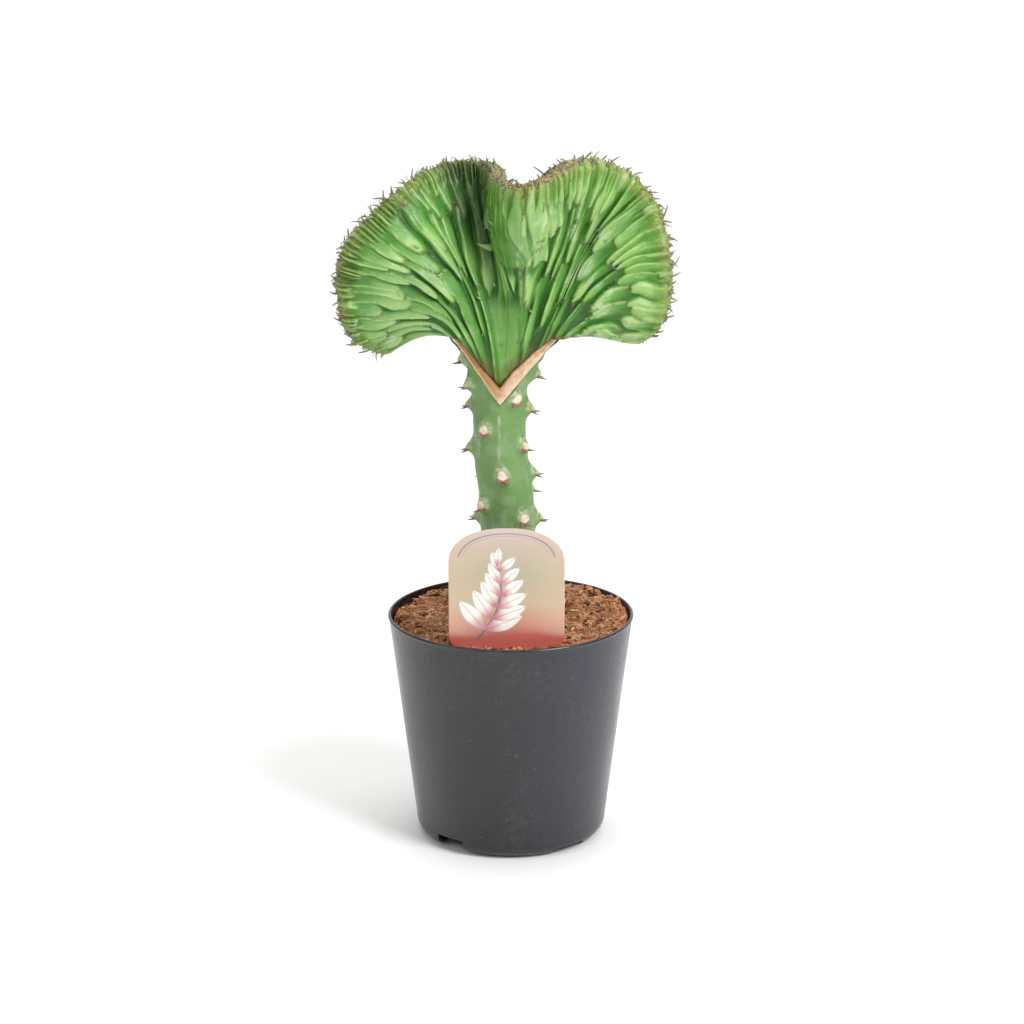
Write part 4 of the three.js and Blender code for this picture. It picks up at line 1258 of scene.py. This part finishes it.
SOIL_LEVEL = 109.0
SOIL_RADIUS = 57.2
SOIL_COLUMNS = 320
SOIL_RINGS = 72
STEM_HOLE = (-0.6, 15.3)  # middle x and radius
STEM_HOLE_DEPTH = 14.0
FIBRE_CLEAR = 32  # half the width, at the tag, that no fibre crosses


def soil_height(x, y):
    spread = 0.9 * np.sin(x * 0.09 + 1) * np.cos(y * 0.08)
    radius = np.hypot(x, y)
    slump = 1.6 * smoothstep(46, 57, radius) * smoothstep(30, -50, x)
    slump = slump + 0.4 * smoothstep(52, 57, radius)
    heap = 1.7 * smoothstep(-15, 45, y) + 0.7 * smoothstep(20, 50, x)
    flat = np.stack([x, y, 0 * x], -1)
    crumbs = 1.5 * noise(flat, 6.5, 31) + 1.2 * noise(flat, 2.8, 32) + 0.5 * noise(flat, 1.2, 33)
    return SOIL_LEVEL + spread + heap - slump + crumbs


def soil_piece():
    turn = np.arange(SOIL_COLUMNS) / SOIL_COLUMNS * 2 * math.pi
    share = np.linspace(0, 1, SOIL_RINGS)[:, None]
    middle, hole = STEM_HOLE
    radius = hole + (SOIL_RADIUS - hole) * share
    x = middle * (1 - share) + radius * np.cos(turn)
    y = radius * np.sin(turn)
    top = np.stack([x, y, soil_height(x, y)], -1)
    sides = [(pot_radius(z) - POT_WALL - 0.6, z) for z in (100, 60, POT_CORNER + 1)]
    sides.append((POT_FOOT - POT_WALL - 4.4, POT_FLOOR + 0.3))
    hole_foot = top[:1] - np.array([0, 0, STEM_HOLE_DEPTH])
    points = np.concatenate([hole_foot, top, [circle(turn, r, z) for r, z in sides]])
    numbers, _ = stacked(points)
    caps = np.stack([numbers[0][::-1], numbers[-1]])[:, ::-1]
    return new_mesh("mix_body", points, ring_faces(numbers[1:], numbers[:-1]), caps)


def on_soil(rng, count, margin=1.0):
    """Random places on the open top of the mix."""
    turn = rng.uniform(0, 2 * math.pi, count)
    low, high = (STEM_HOLE[1] + margin) ** 2, (SOIL_RADIUS - margin) ** 2
    radius = np.sqrt(rng.uniform(low, high, count))
    x, y = radius * np.cos(turn), radius * np.sin(turn)
    near_tag = (np.abs(y - TAG_LOW[1]) < 2.5) & (x > TAG_LOW[0] - 1) & (x < TAG_HIGH[0] + 1)
    return x[~near_tag], y[~near_tag]


def soil_chips(rng):
    template, faces = ball_template(3, 5)
    x, y = on_soil(rng, 3200)
    size = 0.35 + 1.15 * rng.random(len(x)) ** 2.2
    centres = np.stack([x, y, soil_height(x, y) + 0.25 * size], -1)
    ways = unit(rng.normal(0, 1, (len(x), 3)) * [1, 1, 0.45])
    first, second = perpendiculars(ways)
    size = size[:, None]
    long = rng.uniform(1.0, 2.4, len(x))[:, None]
    axes = np.stack([first * size * 0.55, second * size * 0.75, ways * size * long], 1)
    points, made = scattered(template, faces, centres, axes)
    points += 0.16 * np.stack([noise(points, 0.9, k) for k in (41, 42, 43)], -1)
    tone = np.repeat(rng.random(len(x)), len(template))
    piece = new_mesh("mix_chips", points, made, tone=tone)
    piece.data.shade_flat()
    return piece


def soil_fibres(rng):
    x, y = on_soil(rng, 2300, 3.0)
    turn = rng.uniform(0, 2 * math.pi, len(x))
    lift = np.abs(rng.normal(0, 0.24, len(x)))
    ways = np.stack([np.cos(turn), np.sin(turn), lift], -1)
    lengths = rng.uniform(2.5, 10, len(x))
    roots = np.stack([x, y, soil_height(x, y) + 0.2], -1)
    bends = 0.8 * rng.normal(0, 1, (len(x), 3)) * [1, 1, 0]
    bends[:, 2] = -lift
    ends = roots + ways * lengths[:, None] + bends * lengths[:, None]
    middle = (roots + ends) / 2
    kept = np.hypot(ends[:, 0], ends[:, 1]) < SOIL_RADIUS - 0.6
    for places in (ends, middle):
        kept &= np.hypot(places[:, 0] - STEM_HOLE[0], places[:, 1]) > STEM_HOLE[1] + 1
    # None of them runs through the tag.
    before, after = (np.sign(places[:, 1] - TAG_LOW[1]) for places in (roots, ends))
    kept &= (before == after) | (np.abs(middle[:, 0]) >= FIBRE_CLEAR)
    radii = rng.uniform(0.1, 0.24, len(x))
    fibres = [part[kept] for part in (roots, ways, lengths, radii, bends)]
    return strand_piece("mix_fibres", fibres, rng, sides=4, rings=7, taper=0.5, tip=0.35)


def soil_material(name, dark, middle, light, toned):
    mix = Surface(name, Roughness=0.92, Specular_IOR_Level=0.2)
    grain = mix.noise(1.3, 4.0, 0.6)
    value = mix.noise(5, 3.0) * 0.5 + grain * 0.5
    if toned:
        value = value * 0.35 + mix.attribute("tone") * 0.65
    mix.base = mix.ramp(value, (0.2, dark), (0.5, middle), (0.8, light))
    # Darker towards the bottom of the pot.
    mix.lay("0c0806", mix.step(60, 30, mix.axis(2)))
    return mix.finished(grain, 0.5)


# Tag

TAG_THICKNESS = TAG_HIGH[1] - TAG_LOW[1]
TAG_MIDDLE = (TAG_LOW[0] + TAG_HIGH[0]) / 2
TAG_HALF = (TAG_HIGH[0] - TAG_LOW[0]) / 2
TAG_TOP = TAG_HIGH[2]
TAG_SHOULDER = 107.0
TAG_CORNER = 9.0
TAG_ARCH = 17.0
TAG_COLUMNS = 40
STAKE_HALF = 8.5


def bezier(points, steps):
    t = np.linspace(0, 1, steps, endpoint=False)[:, None]
    points = np.array(points, float)
    n = len(points) - 1
    return sum(math.comb(n, k) * (1 - t) ** (n - k) * t**k * points[k] for k in range(n + 1))


def tag_outline():
    """The right half of the outline, from the buried point up to the middle of the arched top."""
    h, low = TAG_HALF, TAG_LOW[2]
    stake = [(0, low), (STAKE_HALF, low + 16), (STAKE_HALF, TAG_SHOULDER - 0.15)]
    corner = [(h - TAG_CORNER, TAG_SHOULDER), (h, TAG_SHOULDER + 0.3), (h, TAG_SHOULDER + TAG_CORNER)]
    corner = bezier(corner, 10)
    arch = bezier([(h, TAG_TOP - TAG_ARCH), (h, TAG_TOP - 6.5), (h * 0.62, TAG_TOP), (0, TAG_TOP)], 26)
    return np.concatenate([np.array(stake, float), corner, [(h, TAG_SHOULDER + TAG_CORNER)], arch])


def tag_piece():
    """Rows of points from left to right, on a front and a back face that meet in a rounded edge."""
    half = tag_outline()
    heights = half[1:, 1]
    rows = np.unique(np.concatenate([heights, np.arange(TAG_LOW[2] + 2, TAG_TOP - 0.4, 1.6)]))
    rows = rows[np.concatenate([[True], np.diff(rows) > 0.12])]
    keys = np.concatenate([[half[0, 1]], heights, [TAG_TOP]])
    widths = np.concatenate([[0], half[1:, 0], [0]])
    reach = np.maximum(np.interp(rows, keys, widths), 0.05)
    across = np.sin(np.linspace(-1, 1, TAG_COLUMNS + 1) * math.pi / 2)
    x = TAG_MIDDLE + reach[:, None] * across
    z = rows[:, None] + 0 * x
    middle_y = (TAG_LOW[1] + TAG_HIGH[1]) / 2
    edge = np.minimum((1 - np.abs(across)) * reach[:, None], (TAG_TOP - z) * 0.8 + 0.05)
    thick = TAG_THICKNESS / 2 * np.sqrt(np.clip(edge / 0.35, 0.02, 1))
    front = np.stack([x, middle_y - thick, z], -1)
    back = np.stack([x, middle_y + thick, z], -1)[:, -2:0:-1]
    rings = np.concatenate([front, back], axis=1)
    numbers, quads = stacked(rings)
    groups, tips = [quads], []
    last = TAG_COLUMNS
    for loop, flip in ((numbers[0], -1), (numbers[-1], 1)):
        near = loop[: last + 1]
        far = np.concatenate([[loop[0]], loop[:last:-1], [loop[last]]])
        groups.append(np.stack([near[1:-2], near[2:-1], far[2:-1], far[1:-2]], -1)[:, ::flip])
        tips.append(np.array([loop[[0, 1, -1]], loop[[last - 1, last, last + 1]]])[:, ::flip])
    return new_mesh("tag_plate", rings, np.concatenate(groups), np.concatenate(tips))


# The sprig printed on the tag: its stem, and pairs of leaves that get smaller towards the end.
SPRIG_FOOT = (-15.0, 114.0)
SPRIG_LEAN = 76  # degrees
SPRIG_LENGTH = 37
SPRIG_BEND = 5.0
SPRIG_PAIRS = 6
# The print: its lowest and its height, the line of the ground with its wave, and the two arcs, each with
# its share of the way to the rim, half its width as a share, and its colour.
PRINT_FOOT = 111.5
PRINT_TALL = 56.5
SHORE_HEIGHT = 115.5
SHORE_WAVE = 1.4
ARCH_POWER = 2.2
PRINTED_ARCS = ((0.84, 0.022, "857680"), (0.77, 0.009, "9c8d92"))


def sprig_point(t):
    a = math.radians(SPRIG_LEAN)
    aside = SPRIG_BEND * math.sin(math.pi * t)
    x = SPRIG_FOOT[0] + SPRIG_LENGTH * t * math.cos(a) + aside * math.sin(a)
    return x, SPRIG_FOOT[1] + SPRIG_LENGTH * t * math.sin(a) - aside * math.cos(a)


def sprig():
    """(middle across, middle up, half length, half width, lean in degrees) of each leaf, from the foot."""
    leaves = []
    for k in range(SPRIG_PAIRS):
        t = 0.12 + 0.8 * k / (SPRIG_PAIRS - 1)
        x, z = sprig_point(t)
        long = 10.5 - 5.4 * t
        for hand in (-1, 1):
            lean = SPRIG_LEAN - hand * (58 - 26 * t) + 4 * math.sin(5 * k)
            a = math.radians(lean)
            middle = (x + 0.95 * long * math.cos(a), z + 0.95 * long * math.sin(a))
            leaves.append((*middle, long, 0.4 * long, lean))
    x, z = sprig_point(1.0)
    return leaves + [(x, z + 4, 5.2, 2.0, SPRIG_LEAN + 8)]


def turned(x, z, place, degrees):
    """How far along a direction and across it each point of the tag lies from a place."""
    a = math.radians(degrees)
    dx, dz = x - place[0], z - place[1]
    return dx * math.cos(a) + dz * math.sin(a), dz * math.cos(a) - dx * math.sin(a)


def tag_material():
    tag = Surface("tag_plastic", Roughness=0.28, Coat_Weight=0.25, Coat_Roughness=0.12)
    x, y, z = (tag.axis(k) for k in range(3))
    tag.base = tag.ramp(
        (z - PRINT_FOOT) / PRINT_TALL,
        (0.0, "a8544a"), (0.16, "c07a64"), (0.34, "b59f82"),
        (0.6, "a6a084"), (0.82, "b7a795"), (1.0, "c6b4ac"),
    )
    tag.lay("cfb49c", tag.step(2, 26, abs(x - TAG_MIDDLE)) * 0.4)
    # A band of ground at the foot, with a soft edge that rises to the right.
    shore = tag.maths("SINE", x * 0.13 + 0.6) * SHORE_WAVE + SHORE_HEIGHT
    tag.lay("c2655a", tag.step(2.2, -1.6, z - shore))
    # The stem of the sprig.
    along, across = turned(x, z, SPRIG_FOOT, SPRIG_LEAN)
    share = along / SPRIG_LENGTH
    bow = tag.maths("SINE", share * math.pi) * SPRIG_BEND
    ends = tag.step(-0.05, 0.0, share) * tag.step(1.05, 1.0, share)
    tag.lay("7d6a72", tag.step(0.75, 0.45, abs(across + bow)) * ends)
    # Leaves with a pale body, a rosy base and a vein down the middle.
    cloudy = tag.noise(5, 3.0) * 0.5
    for *middle, long, wide, lean in sprig():
        along, across = turned(x, z, middle, lean)
        rim = (along / long) ** 2.0 * -wide + wide - abs(across)
        inside = tag.step(0.0, 0.25, rim) * tag.step(long, long - 0.2, abs(along))
        tone = cloudy + tag.step(-long, long * 0.4, along)
        leaf = tag.ramp(tone, (0.25, "b66f7b"), (0.7, "d9bcb8"), (1.1, "e8e2dc"))
        leaf = tag.mix(tag.step(0.35, 0.1, abs(across)) * 0.5, leaf, "9a6a74")
        tag.lay(tag.mix(tag.step(0.9, 0.0, rim) * 0.35, leaf, "8c7478"), inside)
    # Two thin arcs follow the top.
    aside = abs((x - TAG_MIDDLE) / TAG_HALF)
    up = tag.maths("MAXIMUM", (z - (TAG_TOP - TAG_ARCH)) / TAG_ARCH, 0.0)
    bow = (aside**ARCH_POWER + up**ARCH_POWER) ** (1 / ARCH_POWER)
    for place, wide, tone in PRINTED_ARCS:
        line = tag.step(wide, wide * 0.6, abs(bow - place))
        tag.lay(tone, line * tag.step(0.1, 0.25, up) * 0.8)
    tag.lay("d2cabd", tag.step(TAG_LOW[1] + 0.2, TAG_HIGH[1] - 0.2, y))
    return tag.finished(tag.noise(14, 1.0), 0.15)


# Studio

ROOM_LIGHT = 0.52
# Name, place and size in metres, and power in watts.
LAMPS = (
    ("key_light", (1.05, -1.0, 1.3), 0.7, 27),
    ("fill_light", (-1.2, -0.8, 0.8), 0.9, 4),
    ("top_light", (0.0, 0.3, 1.6), 1.1, 12),
)
LAMP_AIM = (0, 0, 0.2)
CAMERA_PLACE = (0.00056, -1.4, 0.5631)
CAMERA_AIM = (0.00056, 0, 0.1629)
CAMERA_LENS = 105.4
PAPER_HALF = 2600  # in mm, half the width of the paper, which bends up behind the pot
PAPER_FRONT = -1800
PAPER_BEND = (900, 700)  # where it starts, and its radius


def aimed(name, data, place, aim):
    """An object in the scene that looks from a place at a point."""
    made = bpy.data.objects.new(name, data)
    made.location = place
    made.rotation_euler = (Vector(aim) - made.location).to_track_quat("-Z", "Y").to_euler()
    bpy.context.scene.collection.objects.link(made)
    return made


def studio():
    scene = bpy.context.scene
    scene.view_settings.view_transform = "Standard"
    world = bpy.data.worlds.new("studio_world")
    scene.world = world
    world.use_nodes = True
    world.node_tree.nodes["Background"].inputs["Color"].default_value = (1.0, 1.0, 1.0, 1.0)
    world.node_tree.nodes["Background"].inputs["Strength"].default_value = ROOM_LIGHT
    start, radius = PAPER_BEND
    profile = [(PAPER_FRONT, 0), (start, 0)] + arc(PAPER_BEND, radius, -84, -6, 14)
    profile = np.array(profile + [(start + radius, radius), (start + radius, PAPER_HALF)])
    left = np.stack([np.full(len(profile), -PAPER_HALF), profile[:, 0], profile[:, 1]], -1)
    n = len(profile)
    quads = np.array([[i, n + i, n + i + 1, i + 1] for i in range(n - 1)])
    floor = new_mesh("studio_floor", np.concatenate([left, left * [-1, 1, 1]]), quads)
    paper = Surface("studio_paper", Roughness=0.9, Base_Color=(0.92, 0.92, 0.91, 1))
    floor.data.materials.append(paper.material)
    for name, place, size, power in LAMPS:
        data = bpy.data.lights.new(name, "AREA")
        data.size = size
        data.energy = power
        aimed(name, data, place, LAMP_AIM)


def camera():
    data = bpy.data.cameras.new("camera")
    data.lens = CAMERA_LENS
    data.sensor_width = 36
    data.clip_end = 20
    bpy.context.scene.camera = aimed("camera", data, CAMERA_PLACE, CAMERA_AIM)


# Assembly

camera()
studio()
finish_piece(fan_piece(), fan_material(), "fan_skin", "crest")
rng = np.random.default_rng(7)
edge_brown = spine_material("edge_brown", "75884a", "70705a", "47463e")
bud_brown = spine_material("bud_brown", "75843f", "90844a", "806d49")
finish_piece(fan_spines(rng), edge_brown, "fan_skin", "crest")
spur_green = spine_material("spur_green", "5f8f3c", "8aa765", "b59a6e")
finish_piece(fan_spurs(), spur_green, "fan_skin", "crest")
finish_piece(fan_buds(rng), bud_brown, "fan_skin", "crest")
finish_piece(stock_piece(), stock_material(), "stem_skin", "stock")
stock_brown = spine_material("stock_brown", "7d7264", "5a534b", "39342f")
finish_piece(stock_spines(rng), stock_brown, "stem_skin", "stock")
finish_piece(callus_piece(), callus_material(), "corky_callus", "graft_callus")
finish_piece(pot_piece(), pot_material(), "pot_plastic", "pot")
coir = ("4d2c1a", "a2694a", "d2a27a")
finish_piece(soil_piece(), soil_material("mix", *coir, False), "potting_mix", "soil")
finish_piece(soil_chips(rng), soil_material("mix_chip", *coir, True), "potting_mix", "soil")
fibre = soil_material("mix_fibre", "8a5a3a", "c29670", "e6c8a4", True)
finish_piece(soil_fibres(rng), fibre, "potting_mix", "soil")
finish_piece(tag_piece(), tag_material(), "tag_plastic", "plant_tag")
